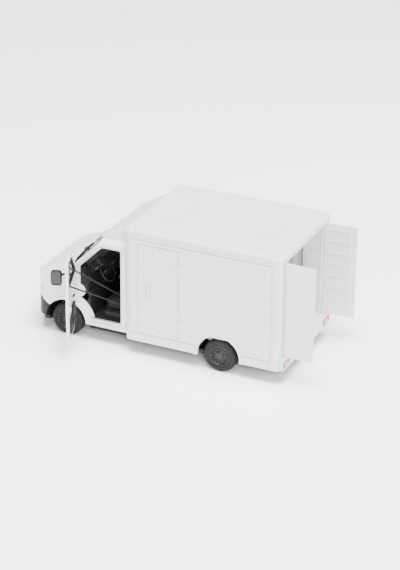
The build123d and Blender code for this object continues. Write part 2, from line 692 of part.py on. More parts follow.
# thicker side frames round the doors
with BuildPart() as side_frames:
    for frame_side in (1, -1):
        with BuildSketch(Plane.XZ.offset(-frame_side * cab_half)):
            with Locations((between(cab_rear_x, nose_x), between(cab_sill_z, cab_roof_z))):
                Rectangle(nose_x - cab_rear_x + 2, cab_roof_z - cab_sill_z + 2)
        extrude(amount=frame_side * cab_side_thickness)
    add(cab_outer, mode=Mode.INTERSECT)

with BuildPart() as cab_shell:
    add(cab_outer)
    add(cab_inner, mode=Mode.SUBTRACT)
    add(side_frames.part)
    # open underside
    with BuildSketch(Plane.XY):
        with Locations((between(cab_rear_x, nose_x), 0)):
            Rectangle(nose_x - cab_rear_x + 20, cab_width - 2 * cab_side_thickness)
    extrude(amount=cab_sill_z + cab_skin + 0.5, mode=Mode.SUBTRACT)
    for arch_side in (1, -1):
        with BuildSketch(Plane.XZ.offset(-arch_side * cab_half)):
            with Locations((front_axle_x, axle_z)):
                Circle(front_arch_radius)
        extrude(amount=arch_side * (cab_side_thickness + 6), mode=Mode.SUBTRACT)
        # the door's rebate, then the doorway with a rounded boss left in its front edge
        with BuildSketch(Plane.XZ.offset(-arch_side * cab_half)):
            door_outline(door_gap)
            with Locations((front_axle_x, axle_z)):
                Circle(front_arch_radius + front_arch_rim, mode=Mode.SUBTRACT)
        extrude(amount=arch_side * (door_thickness + door_gap), mode=Mode.SUBTRACT)
        with BuildSketch(Plane.XZ.offset(-arch_side * cab_half)):
            door_outline(0, frame_overlap_rear, frame_overlap_front, frame_overlap_low,
                         frame_overlap_high, frame_overlap_slope)
            with Locations((front_axle_x, axle_z)):
                Circle(front_arch_radius + 5.0, mode=Mode.SUBTRACT)
            with Locations((door_front_x - 2.6, 23.6)):
                Circle(3.9, mode=Mode.SUBTRACT)
        extrude(amount=arch_side * (cab_side_thickness + 0.1), mode=Mode.SUBTRACT)
    pin_top_z = door_slope_sum - door_front_x
    pin_low_z = axle_z + sqrt((front_arch_radius + front_arch_rim)**2 - (front_axle_x - cab_hinge_x)**2)
    for pin_z in (pin_top_z, pin_low_z):
        with Locations((cab_hinge_x, cab_hinge_y, pin_z), (cab_hinge_x, -cab_hinge_y, pin_z)):
            Cylinder(cab_pin_radius + running_gap, cab_pin_length + 0.4, mode=Mode.SUBTRACT)
    add(bumper_block.part, mode=Mode.SUBTRACT)
    add(lamp_blocks.part, mode=Mode.SUBTRACT)
    add(grille_block.part, mode=Mode.SUBTRACT)
    add(windscreen_block.part, mode=Mode.SUBTRACT)
save(cab_shell, "cab_shell")

lens_skin = cab_glazing - cab_inner
for side_name, side in sides:
    with BuildPart() as headlamp:
        add(lens_skin)
        with BuildSketch(Plane.YZ.offset(nose_x - 15)):
            with Locations((side * headlamp_y, headlamp_z)):
                RectangleRounded(headlamp_width, headlamp_height, 2.0)
        extrude(amount=20, mode=Mode.INTERSECT)
    save(headlamp, f"headlamp_{side_name}")

with BuildPart() as radiator_grille:
    add(lens_skin)
    add(grille_block.part, mode=Mode.INTERSECT)
    for slat in range(4):
        with BuildSketch(Plane.YZ.offset(nose_x - 8)):
            with Locations((0, 19.7 + 1.4 * slat)):
                Rectangle(27.0, 0.55)
        extrude(amount=12, mode=Mode.SUBTRACT)
save(radiator_grille, "radiator_grille")

with BuildPart() as windscreen:
    add(lens_skin)
    add(windscreen_block.part, mode=Mode.INTERSECT)
save(windscreen, "windscreen")

bumper_skin = cab_outer - cab_body(bumper_thickness)
with BuildPart() as front_bumper:
    add(bumper_skin)
    add(bumper_block.part, mode=Mode.INTERSECT)
    with BuildSketch(Plane.XZ):
        with Locations((front_axle_x, axle_z)):
            Circle(front_arch_radius)
    extrude(amount=box_half, both=True, mode=Mode.SUBTRACT)
    with BuildSketch(Plane.YZ.offset(nose_x - 8)):
        with Locations((0, 9.5)):
            RectangleRounded(26.0, 4.0, 1.0)
    extrude(amount=12, mode=Mode.SUBTRACT)
save(front_bumper, "front_bumper")

with BuildPart() as roof_fairing:
    with BuildSketch(Plane.XZ):
        Polygon((cab_rear_x, cab_roof_z), (fairing_front_x - 1.0, cab_roof_z),
                (fairing_front_x, cab_roof_z + 0.5),
                (cab_rear_x + 2.0, fairing_back_z - 0.5), (cab_rear_x, fairing_back_z - 0.5), align=None)
    extrude(amount=fairing_width / 2, both=True)
    slope_faces = roof_fairing.faces().filter_by(lambda f: f.normal_at().Z > 0.2)
    slope_edges = slope_faces.sort_by(SortBy.AREA)[-1].edges()
    fillet(slope_edges.filter_by(lambda e: abs(e.center().Y) > 1), 2.0)
    with BuildSketch(Plane.XZ):
        Polygon((cab_rear_x, cab_roof_z), (fairing_front_x - 6.0, cab_roof_z),
                (cab_rear_x + 2.0, fairing_back_z - 2.2), (cab_rear_x, fairing_back_z - 2.2), align=None)
    extrude(amount=fairing_width / 2 - 1.6, both=True, mode=Mode.SUBTRACT)
save(roof_fairing, "roof_fairing")

tub_half = cab_half - cab_side_thickness - 0.1
plinth_front_x = cab_rear_x + 17.0
tub_rear_x = cab_rear_x + cab_skin + 0.1
with BuildPart() as cab_floor:
    with BuildSketch(Plane.XY.offset(cab_floor_z - cab_floor_thickness)):
        with Locations((between(tub_rear_x, toe_board_x), 0)):
            Rectangle(toe_board_x - tub_rear_x, 2 * tub_half)
    extrude(amount=cab_floor_thickness)
    with BuildSketch(Plane.YZ.offset(toe_board_x - cab_floor_thickness)):
        with Locations((0, between(cab_floor_z, 23.0))):
            Rectangle(2 * tub_half, 23.0 - cab_floor_z)
    extrude(amount=cab_floor_thickness)
    # raised plinth under the seats
    with BuildSketch(Plane.XY.offset(cab_floor_z)):
        with Locations((between(tub_rear_x, plinth_front_x), 0)):
            Rectangle(plinth_front_x - tub_rear_x, 2 * tub_half - 6.0)
    extrude(amount=4.0)
    with Locations((screw_spots[3][0], screw_spots[3][1], base_thickness)):
        Cylinder(post_radius, cab_floor_z - cab_floor_thickness - base_thickness,
                 align=(Align.CENTER, Align.CENTER, Align.MIN))
        Cylinder(screw_radius, 6.0, align=(Align.CENTER, Align.CENTER, Align.MIN), mode=Mode.SUBTRACT)
save(cab_floor, "cab_floor")

seat_base_z = cab_floor_z + 4.0
seat_top_z = 41.0
for seat_name, seat_low_y, seat_high_y in (("driver_seat", 7.5, 23.0), ("passenger_seat", -23.5, 4.0)):
    with BuildPart() as seat:
        with BuildSketch(Plane.XZ.offset(-seat_low_y)):
            Polygon((cab_rear_x + 3.0, seat_base_z), (cab_rear_x + 18.0, seat_base_z),
                    (cab_rear_x + 19.0, seat_base_z + 6.0), (cab_rear_x + 9.0, seat_base_z + 5.0),
                    (cab_rear_x + 5.2, seat_top_z), (cab_rear_x + 1.4, seat_top_z), align=None)
        extrude(amount=-(seat_high_y - seat_low_y))
        fillet(seat.edges().filter_by(Axis.Y).group_by(Axis.Z)[-1], 1.0)
        head_count = 1 if seat_high_y > 10 else 2
        head_step = (seat_high_y - seat_low_y) / head_count
        for head in range(head_count):
            with BuildSketch(Plane.XY.offset(seat_top_z)):
                with Locations((cab_rear_x + 3.0, seat_low_y + (head + 0.5) * head_step)):
                    RectangleRounded(2.6, 6.4, 0.8)
            extrude(amount=4.2)
    save(seat, seat_name)

with BuildPart() as dashboard:
    with BuildSketch(Plane.XZ):
        Polygon((toe_board_x, 23.0), (toe_board_x + 10.9, 23.0), (toe_board_x + 11.9, 34.0),
                (toe_board_x + 9.9, 36.0), (toe_board_x + 2.9, 35.0), (toe_board_x, 29.0), align=None)
    extrude(amount=tub_half, both=True)
    with BuildSketch(Plane.XZ.offset(-(steering_wheel_centre[1] - 6.5))):
        Polygon((toe_board_x + 1.4, 31.0), (toe_board_x + 8.4, 31.0), (toe_board_x + 8.4, 36.8),
                (toe_board_x + 1.9, 38.2), (toe_board_x + 0.2, 35.0), align=None)
    extrude(amount=-13.0)
    with BuildSketch(Plane.XZ.offset(4.5)):
        Polygon((toe_board_x - 1.0, 14.0), (toe_board_x + 2.0, 14.0), (toe_board_x + 2.0, 30.0),
                (toe_board_x - 1.6, 30.0), align=None)
    extrude(amount=-9.0)
    with BuildSketch(Plane.YZ.offset(toe_board_x - cab_floor_thickness - 0.01)):
        with Locations((0, 18.5)):
            Rectangle(10, 9.0)
    extrude(amount=cab_floor_thickness + 3.0, mode=Mode.SUBTRACT)
save(dashboard, "dashboard")

rake = radians(steering_rake)
wheel_plane = Plane(origin=steering_wheel_centre, x_dir=(0, 1, 0), z_dir=(-cos(rake), 0, sin(rake)))
with BuildPart() as steering_wheel:
    with BuildSketch(Plane(origin=steering_wheel_centre, x_dir=(-cos(rake), 0, sin(rake)), z_dir=(0, 1, 0))):
        with Locations((0, steering_wheel_radius)):
            Circle(0.55)
    revolve(axis=Axis(steering_wheel_centre, (-cos(rake), 0, sin(rake))))
    with BuildSketch(wheel_plane.offset(-0.4)):
        Circle(1.8)
        for spoke in (90, 210, 330):
            with PolarLocations(steering_wheel_radius / 2, 1, start_angle=spoke):
                Rectangle(steering_wheel_radius, 1.1)
    extrude(amount=0.8)
    with BuildSketch(wheel_plane.offset(-0.4)):
        Circle(0.9)
    extrude(amount=-8.0)
save(steering_wheel, "steering_wheel")

# cab doors
for side_name, side in sides:
    open_angle = left_cab_door_open if side > 0 else 0.0
    leaf = cab_leaf(side, open_angle)
    with BuildPart() as cab_door:
        skin_plane = leaf.offset(-door_thickness / 2)
        slope_start = cab_hinge_x - (door_slope_sum - door_high_z)
        rear_end = cab_hinge_x - door_rear_x
        slope_foot_z = door_slope_sum - cab_hinge_x
        arch_x = cab_hinge_x - front_axle_x
        door_arch_radius = front_arch_radius + front_arch_rim + door_arch_gap
        with BuildSketch(skin_plane):
            Polygon((0, side * door_low_z), (rear_end, side * door_low_z), (rear_end, side * door_high_z),
                    (slope_start, side * door_high_z), (2.4, side * (slope_foot_z + 2.4)),
                    (0, side * (slope_foot_z - 1.2)), align=None)
            with Locations((arch_x, side * axle_z)):
                Circle(door_arch_radius, mode=Mode.SUBTRACT)
        extrude(amount=door_thickness)
        # rolled front edge round the hinge line
        edge_low_z = axle_z + sqrt(door_arch_radius**2 - arch_x**2) + 0.8
        with BuildSketch(Plane.XY.offset(edge_low_z)):
            with Locations((cab_hinge_x, side * cab_hinge_y)):
                Circle(door_thickness / 2)
        extrude(amount=slope_foot_z - 1.2 - edge_low_z)
        # window
        window_rear = rear_end - door_frame_width
        window_high_z = door_high_z - door_frame_width
        window_sum = door_slope_sum - door_frame_width * sqrt(2)
        with BuildSketch(skin_plane):
            Polygon((cab_hinge_x - (window_sum - door_window_sill_z), side * door_window_sill_z),
                    (window_rear, side * door_window_sill_z), (window_rear, side * window_high_z),
                    (cab_hinge_x - (window_sum - window_high_z), side * window_high_z), align=None)
        extrude(amount=door_thickness, mode=Mode.SUBTRACT)
        # handle recess on the outer skin
        with BuildSketch(leaf.offset(door_thickness / 2)):
            with Locations((rear_end - 4.2, side * 31.5)):
                Rectangle(4.0, 1.6)
        extrude(amount=-0.4, mode=Mode.SUBTRACT)
        for pin_z in (slope_foot_z - 0.9, edge_low_z):
            with Locations((cab_hinge_x, side * cab_hinge_y, pin_z)):
                Cylinder(cab_pin_radius, cab_pin_length, mode=Mode.SUBTRACT)
    save(cab_door, f"{side_name}_cab_door")

    with BuildPart() as cab_hinge_pins:
        for pin_z in (slope_foot_z - 0.9, edge_low_z):
            with Locations((cab_hinge_x, side * cab_hinge_y, pin_z)):
                Cylinder(cab_pin_radius, cab_pin_length)
    save(cab_hinge_pins, f"{side_name}_cab_hinge_pins")

    with BuildPart() as door_glass:
        with BuildSketch(leaf.offset(-0.3)):
            Polygon((cab_hinge_x - (window_sum - door_window_sill_z), side * door_window_sill_z),
                    (window_rear, side * door_window_sill_z), (window_rear, side * window_high_z),
                    (cab_hinge_x - (window_sum - window_high_z), side * window_high_z), align=None)
        extrude(amount=0.7)
    save(door_glass, f"{side_name}_door_glass")

    # lower inner trim panel
    with BuildPart() as door_trim:
        with BuildSketch(leaf.offset(-door_thickness / 2)):
            Polygon((8.0, side * 19.5), (rear_end - 2.4, side * 19.5), (rear_end - 2.4, side * 9.6),
                    (15.0, side * 9.6), align=None)
        extrude(amount=-1.0)
        fillet(door_trim.edges().filter_by(Axis(leaf.origin, leaf.z_dir)), 0.8)
    save(door_trim, f"{side_name}_door_trim")

    mirror_centre = (5.5, side * 33.5)
    with BuildPart() as mirror_housing:
        with BuildSketch(leaf.offset(6.4)):
            with Locations(mirror_centre):
                RectangleRounded(3.0, 9.0, 1.0)
        extrude(amount=6.4)
        with BuildSketch(leaf.offset(door_thickness / 2)):
            with Locations((5.5, side * 36.0)):
                Rectangle(1.4, 1.4)
        extrude(amount=6.0)
    save(mirror_housing, f"{side_name}_mirror_housing")
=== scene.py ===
import json
import math
import bpy
import numpy as np
from mathutils import Matrix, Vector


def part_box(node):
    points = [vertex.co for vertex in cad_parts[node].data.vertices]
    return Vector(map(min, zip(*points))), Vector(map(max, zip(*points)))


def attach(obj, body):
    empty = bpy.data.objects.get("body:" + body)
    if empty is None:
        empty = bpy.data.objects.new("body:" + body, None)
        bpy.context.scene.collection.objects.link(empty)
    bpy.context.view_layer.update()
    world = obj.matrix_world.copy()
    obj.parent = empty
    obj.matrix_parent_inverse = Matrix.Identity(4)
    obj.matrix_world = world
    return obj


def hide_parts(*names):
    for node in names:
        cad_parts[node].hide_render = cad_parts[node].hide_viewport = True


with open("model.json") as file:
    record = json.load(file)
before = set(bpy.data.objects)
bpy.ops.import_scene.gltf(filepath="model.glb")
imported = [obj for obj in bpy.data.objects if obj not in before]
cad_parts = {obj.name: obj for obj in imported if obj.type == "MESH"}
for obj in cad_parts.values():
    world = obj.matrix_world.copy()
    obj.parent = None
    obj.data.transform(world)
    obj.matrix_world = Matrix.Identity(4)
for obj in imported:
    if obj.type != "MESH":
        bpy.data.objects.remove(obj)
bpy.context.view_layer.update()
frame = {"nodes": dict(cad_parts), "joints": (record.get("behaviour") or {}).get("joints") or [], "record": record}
nodes = frame["nodes"]
jointOf = {j["name"]: j for j in frame["joints"]}
mm = 0.001


# a node's lowest and highest corners
def ends(node):
    low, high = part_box(node)
    return np.array(low), np.array(high)


# the mean of a node's two corners
def middle(node):
    low, high = ends(node)
    return (low + high) / 2


# meshes from grids of points

# makes a mesh from a grid of points (rows, columns, 3); a closed direction joins its last
# line to its first, and caps fills the first and last rows with a face
def gridPiece(name, grid, closedRows=False, closedColumns=True, caps=True):
    rows, columns = grid.shape[:2]
    index = np.arange(rows * columns).reshape(rows, columns)
    if closedRows:
        index = np.vstack([index, index[:1]])
    if closedColumns:
        index = np.hstack([index, index[:, :1]])
    quads = np.stack([index[:-1, :-1], index[:-1, 1:], index[1:, 1:], index[1:, :-1]], axis=-1).reshape(-1, 4)
    faces = quads.tolist()
    if caps and not closedRows:
        faces.append(np.arange(columns)[::-1].tolist())
        faces.append((np.arange(columns) + (rows - 1) * columns).tolist())
    mesh = bpy.data.meshes.new(name)
    mesh.from_pydata(grid.reshape(-1, 3).tolist(), [], faces)
    mesh.validate()
    piece = bpy.data.objects.new(name, mesh)
    bpy.context.scene.collection.objects.link(piece)
    turnOutward(mesh)
    mesh.polygons.foreach_set("use_smooth", np.full(len(mesh.polygons), True))
    return piece


# flips the faces when the mesh encloses a negative volume
def turnOutward(mesh):
    mesh.calc_loop_triangles()
    corners = np.empty(len(mesh.vertices) * 3)
    mesh.vertices.foreach_get("co", corners)
    corners = corners.reshape(-1, 3)
    triangles = np.empty(len(mesh.loop_triangles) * 3, dtype=np.int32)
    mesh.loop_triangles.foreach_get("vertices", triangles)
    a, b, c = (corners[triangles.reshape(-1, 3)[:, k]] for k in range(3))
    if np.einsum("ij,ij->i", a, np.cross(b, c)).sum() < 0:
        mesh.flip_normals()


# several parts become one piece, under the first part's object
def joined(name, parts):
    keep = parts[0]
    if len(parts) > 1:
        with bpy.context.temp_override(active_object=keep, selected_editable_objects=parts):
            bpy.ops.object.join()
    keep.name = name
    keep.data.name = name
    return keep


# a soft block: a superellipsoid, whose three half sizes are scaled powers of sine and cosine
def softBlock(name, centre, size, roundness=0.25, rows=17, columns=48, axes=np.eye(3)):
    v = np.linspace(-math.pi / 2, math.pi / 2, rows)[:, None]
    u = np.linspace(0, 2 * math.pi, columns, endpoint=False)[None, :]

    def power(x):
        return np.sign(x) * np.abs(x) ** roundness

    ring = power(np.cos(v))
    local = np.stack([ring * power(np.cos(u)), ring * power(np.sin(u)), power(np.sin(v)) * np.ones_like(u)],
                     axis=-1)
    local *= np.array(size) / 2
    return gridPiece(name, local @ np.array(axes, dtype=float) + np.array(centre))


# a tube of a round section carried along a line of points
def tube(name, path, radius, sides=12, closed=False):
    path = np.array(path, dtype=float)
    if closed:
        tangent = np.roll(path, -1, axis=0) - np.roll(path, 1, axis=0)
    else:
        tangent = np.gradient(path, axis=0)
    tangent /= np.linalg.norm(tangent, axis=1, keepdims=True)
    guide = np.array([0.0, 0.0, 1.0]) if abs(tangent[:, 2]).mean() < 0.8 else np.array([1.0, 0.0, 0.0])
    side = np.cross(tangent, guide)
    side /= np.linalg.norm(side, axis=1, keepdims=True)
    up = np.cross(side, tangent)
    angle = np.linspace(0, 2 * math.pi, sides, endpoint=False)
    radius = np.broadcast_to(np.asarray(radius, dtype=float), (len(path),))
    grid = (path[:, None, :] + radius[:, None, None] * (np.cos(angle)[None, :, None] * side[:, None, :]
            + np.sin(angle)[None, :, None] * up[:, None, :]))
    return gridPiece(name, grid, closedRows=closed, caps=not closed)


# a turned shape: the profile's (radius, offset) pairs are swung round an axis through centre
def turned(name, profile, centre, axis, sides=96, closedProfile=True, shift=None):
    profile = np.array(profile, dtype=float)
    axis = np.array(axis, dtype=float)
    guide = np.array([0.0, 0.0, 1.0]) if abs(axis[2]) < 0.8 else np.array([1.0, 0.0, 0.0])
    side = np.cross(axis, guide)
    side /= np.linalg.norm(side)
    up = np.cross(side, axis)
    angle = np.linspace(0, 2 * math.pi, sides, endpoint=False)
    radius = np.repeat(profile[:, :1], sides, axis=1)
    offset = np.repeat(profile[:, 1:], sides, axis=1)
    if shift is not None:
        radius, offset = shift(radius, offset, angle[None, :])
    spoke = np.cos(angle)[:, None] * side + np.sin(angle)[:, None] * up
    grid = np.array(centre) + radius[..., None] * spoke[None] + offset[..., None] * axis
    return gridPiece(name, grid, closedRows=closedProfile, caps=not closedProfile)


# materials

def nodeGroup(name, inputs, outputs):
    group = bpy.data.node_groups.new(name, "ShaderNodeTree")
    for label, kind, value in inputs:
        socket = group.interface.new_socket(name=label, in_out="INPUT", socket_type=kind)
        if value is not None:
            socket.default_value = value
    for label, kind in outputs:
        group.interface.new_socket(name=label, in_out="OUTPUT", socket_type=kind)
    return group, group.nodes.new("NodeGroupInput"), group.nodes.new("NodeGroupOutput")


def link(tree, source, target):
    tree.links.new(source, target)


def mathNode(nodeList, kind, operation, second=None):
    node = nodeList.new(kind)
    node.operation = operation
    if second is not None:
        node.inputs[1].default_value = second
    return node


# moulded surface: broad cloudy tone, fine grain for the bump and a wandering roughness
def makeMouldGroup():
    group, source, result = nodeGroup("mouldedSurface", [
        ("Colour", "NodeSocketColor", (0.8, 0.8, 0.8, 1)), ("Tone", "NodeSocketFloat", 0.03),
        ("Cloud Scale", "NodeSocketFloat", 40.0), ("Grain Scale", "NodeSocketFloat", 900.0),
        ("Roughness", "NodeSocketFloat", 0.4), ("Roughness Drift", "NodeSocketFloat", 0.08),
        ("Bump", "NodeSocketFloat", 0.05)],
        [("Colour", "NodeSocketColor"), ("Roughness", "NodeSocketFloat"), ("Normal", "NodeSocketVector")])
    n = group.nodes
    place = n.new("ShaderNodeTexCoord")
    cloud = n.new("ShaderNodeTexNoise")
    cloud.inputs["Detail"].default_value = 4.0
    grain = n.new("ShaderNodeTexNoise")
    grain.inputs["Detail"].default_value = 3.0
    for noise, scale in ((cloud, "Cloud Scale"), (grain, "Grain Scale")):
        link(group, place.outputs["Object"], noise.inputs["Vector"])
        link(group, source.outputs[scale], noise.inputs["Scale"])
    swing = mathNode(n, "ShaderNodeMath", "SUBTRACT", 0.5)
    link(group, cloud.outputs["Fac"], swing.inputs[0])
    toned = mathNode(n, "ShaderNodeMath", "MULTIPLY")
    link(group, swing.outputs[0], toned.inputs[0])
    link(group, source.outputs["Tone"], toned.inputs[1])
    level = mathNode(n, "ShaderNodeMath", "ADD", 1.0)
    link(group, toned.outputs[0], level.inputs[0])
    shade = mathNode(n, "ShaderNodeVectorMath", "SCALE")
    link(group, source.outputs["Colour"], shade.inputs[0])
    link(group, level.outputs[0], shade.inputs["Scale"])
    link(group, shade.outputs[0], result.inputs["Colour"])
    drift = mathNode(n, "ShaderNodeMath", "MULTIPLY_ADD")
    link(group, swing.outputs[0], drift.inputs[0])
    link(group, source.outputs["Roughness Drift"], drift.inputs[1])
    link(group, source.outputs["Roughness"], drift.inputs[2])
    link(group, drift.outputs[0], result.inputs["Roughness"])
    bump = n.new("ShaderNodeBump")
    bump.inputs["Distance"].default_value = 0.0002
    link(group, source.outputs["Bump"], bump.inputs["Strength"])
    link(group, grain.outputs["Fac"], bump.inputs["Height"])
    link(group, bump.outputs["Normal"], result.inputs["Normal"])
    return group


mouldGroup = makeMouldGroup()

finishes = {
    "whiteEnamel": dict(colour=(0.66, 0.65, 0.66), tone=0.02, cloud=25, grain=500, rough=0.28, drift=0.06,
                        bump=0.03, coat=0.35),
    "whiteMoulding": dict(colour=(0.64, 0.625, 0.63), tone=0.025, cloud=18, grain=900, rough=0.42, drift=0.08,
                          bump=0.05, coat=0.0),
    "blackMoulding": dict(colour=(0.009, 0.009, 0.0095), tone=0.25, cloud=90, grain=1600, rough=0.5,
                          drift=0.15,
                          bump=0.25, coat=0.0),
    "seatMoulding": dict(colour=(0.010, 0.010, 0.011), tone=0.3, cloud=120, grain=2200, rough=0.62,
                         drift=0.15,
                         bump=0.5, coat=0.0),
    "tyreRubber": dict(colour=(0.010, 0.010, 0.010), tone=0.3, cloud=160, grain=2600, rough=0.72, drift=0.12,
                       bump=0.4, coat=0.0),
    "redLens": dict(colour=(0.30, 0.012, 0.03), tone=0.12, cloud=300, grain=1200, rough=0.25, drift=0.05,
                    bump=0.05, coat=0.3),
    "paleLens": dict(colour=(0.62, 0.40, 0.44), tone=0.05, cloud=300, grain=1200, rough=0.3, drift=0.05,
                     bump=0.05, coat=0.3),
    "hubMoulding": dict(colour=(0.011, 0.011, 0.012), tone=0.25, cloud=120, grain=1800, rough=0.42,
                        drift=0.12,
                        bump=0.2, coat=0.1),
    "darkTrim": dict(colour=(0.014, 0.014, 0.0145), tone=0.2, cloud=140, grain=1800, rough=0.38, drift=0.1,
                     bump=0.15, coat=0.1),
    "gaugeFace": dict(colour=(0.14, 0.14, 0.14), tone=0.3, cloud=500, grain=2200, rough=0.3, drift=0.05,
                      bump=0.1, coat=0.4),
    "sealRubber": dict(colour=(0.012, 0.012, 0.012), tone=0.2, cloud=180, grain=2400, rough=0.6, drift=0.1,
                       bump=0.3, coat=0.0),
    "darkMirror": dict(colour=(0.010, 0.010, 0.011), tone=0.1, cloud=90, grain=1200, rough=0.12, drift=0.04,
                       bump=0.02, coat=0.6),
    "reflector": dict(colour=(0.72, 0.73, 0.75), tone=0.1, cloud=200, grain=1500, rough=0.22, drift=0.06,
                      bump=0.05, coat=0.3),
    # the box's white plastic made darker and warmer: painted shade for the parts inside the box
    "insidePaintedShade": dict(colour=(0.46, 0.43, 0.40), tone=0.05, cloud=30, grain=900, rough=0.5, drift=0.1,
                          bump=0.08, coat=0.0),
    "nylonMoulding": dict(colour=(0.78, 0.76, 0.68), tone=0.05, cloud=200, grain=1400, rough=0.45, drift=0.05,
                          bump=0.05, coat=0.0),
}


def mouldedMaterial(name, colour, tone, cloud, grain, rough, drift, bump, coat):
    material = bpy.data.materials.new(name)
    material.use_nodes = True
    tree = material.node_tree
    shader = tree.nodes["Principled BSDF"]
    detail = tree.nodes.new("ShaderNodeGroup")
    detail.node_tree = mouldGroup
    for label, value in (("Tone", tone), ("Cloud Scale", cloud), ("Grain Scale", grain), ("Roughness", rough),
                         ("Roughness Drift", drift), ("Bump", bump)):
        detail.inputs[label].default_value = value
    detail.inputs["Colour"].default_value = (*colour, 1)
    link(tree, detail.outputs["Colour"], shader.inputs["Base Color"])
    link(tree, detail.outputs["Roughness"], shader.inputs["Roughness"])
    link(tree, detail.outputs["Normal"], shader.inputs["Normal"])
    shader.inputs["Coat Weight"].default_value = coat
    shader.inputs["Specular IOR Level"].default_value = 0.5 if max(colour) > 0.2 else 0.22
    shader.inputs["Coat Roughness"].default_value = 0.12
    return material


materials = {name: mouldedMaterial(name, **values) for name, values in finishes.items()}


# clear styrene: a glass with a faint tint and fine moulding waves
def clearMaterial(name, colour, rough, alphaLike=1.0):
    material = bpy.data.materials.new(name)
    material.use_nodes = True
    tree = material.node_tree
    shader = tree.nodes["Principled BSDF"]
    shader.inputs["Base Color"].default_value = (*colour, 1)
    shader.inputs["Transmission Weight"].default_value = alphaLike
    shader.inputs["IOR"].default_value = 1.45
    place = tree.nodes.new("ShaderNodeTexCoord")
    wave = tree.nodes.new("ShaderNodeTexNoise")
    wave.inputs["Scale"].default_value = 60
    link(tree, place.outputs["Object"], wave.inputs["Vector"])
    level = tree.nodes.new("ShaderNodeMapRange")
    level.inputs["To Min"].default_value = rough
    level.inputs["To Max"].default_value = rough + 0.06
    link(tree, wave.outputs["Fac"], level.inputs["Value"])
    link(tree, level.outputs["Result"], shader.inputs["Roughness"])
    bump = tree.nodes.new("ShaderNodeBump")
    bump.inputs["Strength"].default_value = 0.03
    bump.inputs["Distance"].default_value = 0.0002
    link(tree, wave.outputs["Fac"], bump.inputs["Height"])
    link(tree, bump.outputs["Normal"], shader.inputs["Normal"])
    return material


# metal: drawn or turned steel with fine streaks along one axis
def metalMaterial(name, colour, rough, stretch):
    material = bpy.data.materials.new(name)
    material.use_nodes = True
    tree = material.node_tree
    shader = tree.nodes["Principled BSDF"]
    shader.inputs["Base Color"].default_value = (*colour, 1)
    shader.inputs["Metallic"].default_value = 1.0
    place = tree.nodes.new("ShaderNodeTexCoord")
    scaled = tree.nodes.new("ShaderNodeMapping")
    scaled.inputs["Scale"].default_value = stretch
    streak = tree.nodes.new("ShaderNodeTexNoise")
    streak.inputs["Scale"].default_value = 400
    link(tree, place.outputs["Object"], scaled.inputs["Vector"])
    link(tree, scaled.outputs["Vector"], streak.inputs["Vector"])
    level = tree.nodes.new("ShaderNodeMapRange")
    level.inputs["To Min"].default_value = rough
    level.inputs["To Max"].default_value = rough + 0.2
    link(tree, streak.outputs["Fac"], level.inputs["Value"])
    link(tree, level.outputs["Result"], shader.inputs["Roughness"])
    bump = tree.nodes.new("ShaderNodeBump")
    bump.inputs["Strength"].default_value = 0.15
    bump.inputs["Distance"].default_value = 0.0001
    link(tree, streak.outputs["Fac"], bump.inputs["Height"])
    link(tree, bump.outputs["Normal"], shader.inputs["Normal"])
    return material


materials["clearGlazing"] = clearMaterial("clearGlazing", (0.93, 0.95, 0.95), 0.03)
materials["lampLens"] = clearMaterial("lampLens", (0.95, 0.96, 0.97), 0.08, 0.7)
materials["steelRod"] = metalMaterial("steelRod", (0.60, 0.60, 0.61), 0.25, (1, 0.08, 1))

slotFinish = {"white_paint": "whiteEnamel", "box_plastic": "whiteMoulding", "black_plastic": "blackMoulding",
              "interior_plastic": "seatMoulding", "tyre_rubber": "tyreRubber",
              "clear_glazing": "clearGlazing",
              "lamp_lens": "lampLens", "lamp_red": "redLens", "steel": "steelRod",
              "nylon": "nylonMoulding"}
for part in frame["record"]["subparts"]:
    mesh = nodes[part["node"]].data
    mesh.materials.clear()
    mesh.materials.append(materials[slotFinish[part["material_slot"]]])
print("materials done")


# gives a piece the finish of its slot, or the finish given, and the body that it rides on
def finished(piece, body, slotName, finish=None):
    piece.data.materials.clear()
    piece.data.materials.append(materials[finish or slotFinish[slotName]])
    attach(piece, body)
    return piece


# camera, floor and light

studio = {"target": (-21.7 * mm, 2.5 * mm, 28.2 * mm), "distance": 1101.8 * mm, "azimuth": 24.717,
          "elevation": 25.538,
          "roll": 0.601, "lens": 124.7, "sensor": 36, "near": 0.01, "far": 20, "floorSize": 4.0,
          "worldStrength": 0.75}


# the camera stands back from its target along the azimuth and elevation, then rolls
def placeCamera(s):
    azimuth, elevation, roll = (math.radians(s[k]) for k in ("azimuth", "elevation", "roll"))
    back = np.array([-math.sin(azimuth) * math.cos(elevation), math.cos(azimuth) * math.cos(elevation),
                     math.sin(elevation)])
    right = np.array([-math.cos(azimuth), -math.sin(azimuth), 0])
    up = np.cross(back, right)
    tiltedRight = math.cos(roll) * right + math.sin(roll) * up
    tiltedUp = np.cross(back, tiltedRight)
    place = np.eye(4)
    place[:3, 0], place[:3, 1], place[:3, 2] = tiltedRight, tiltedUp, back
    place[:3, 3] = np.array(s["target"]) + back * s["distance"]
    camera = bpy.data.objects.new("camera", bpy.data.cameras.new("camera"))
    camera.matrix_world = Matrix(place.tolist())
    camera.data.lens = s["lens"]
    camera.data.sensor_width = s["sensor"]
    camera.data.sensor_fit = "AUTO"
    camera.data.clip_start = s["near"]
    camera.data.clip_end = s["far"]
    bpy.context.scene.collection.objects.link(camera)
    bpy.context.scene.camera = camera


placeCamera(studio)

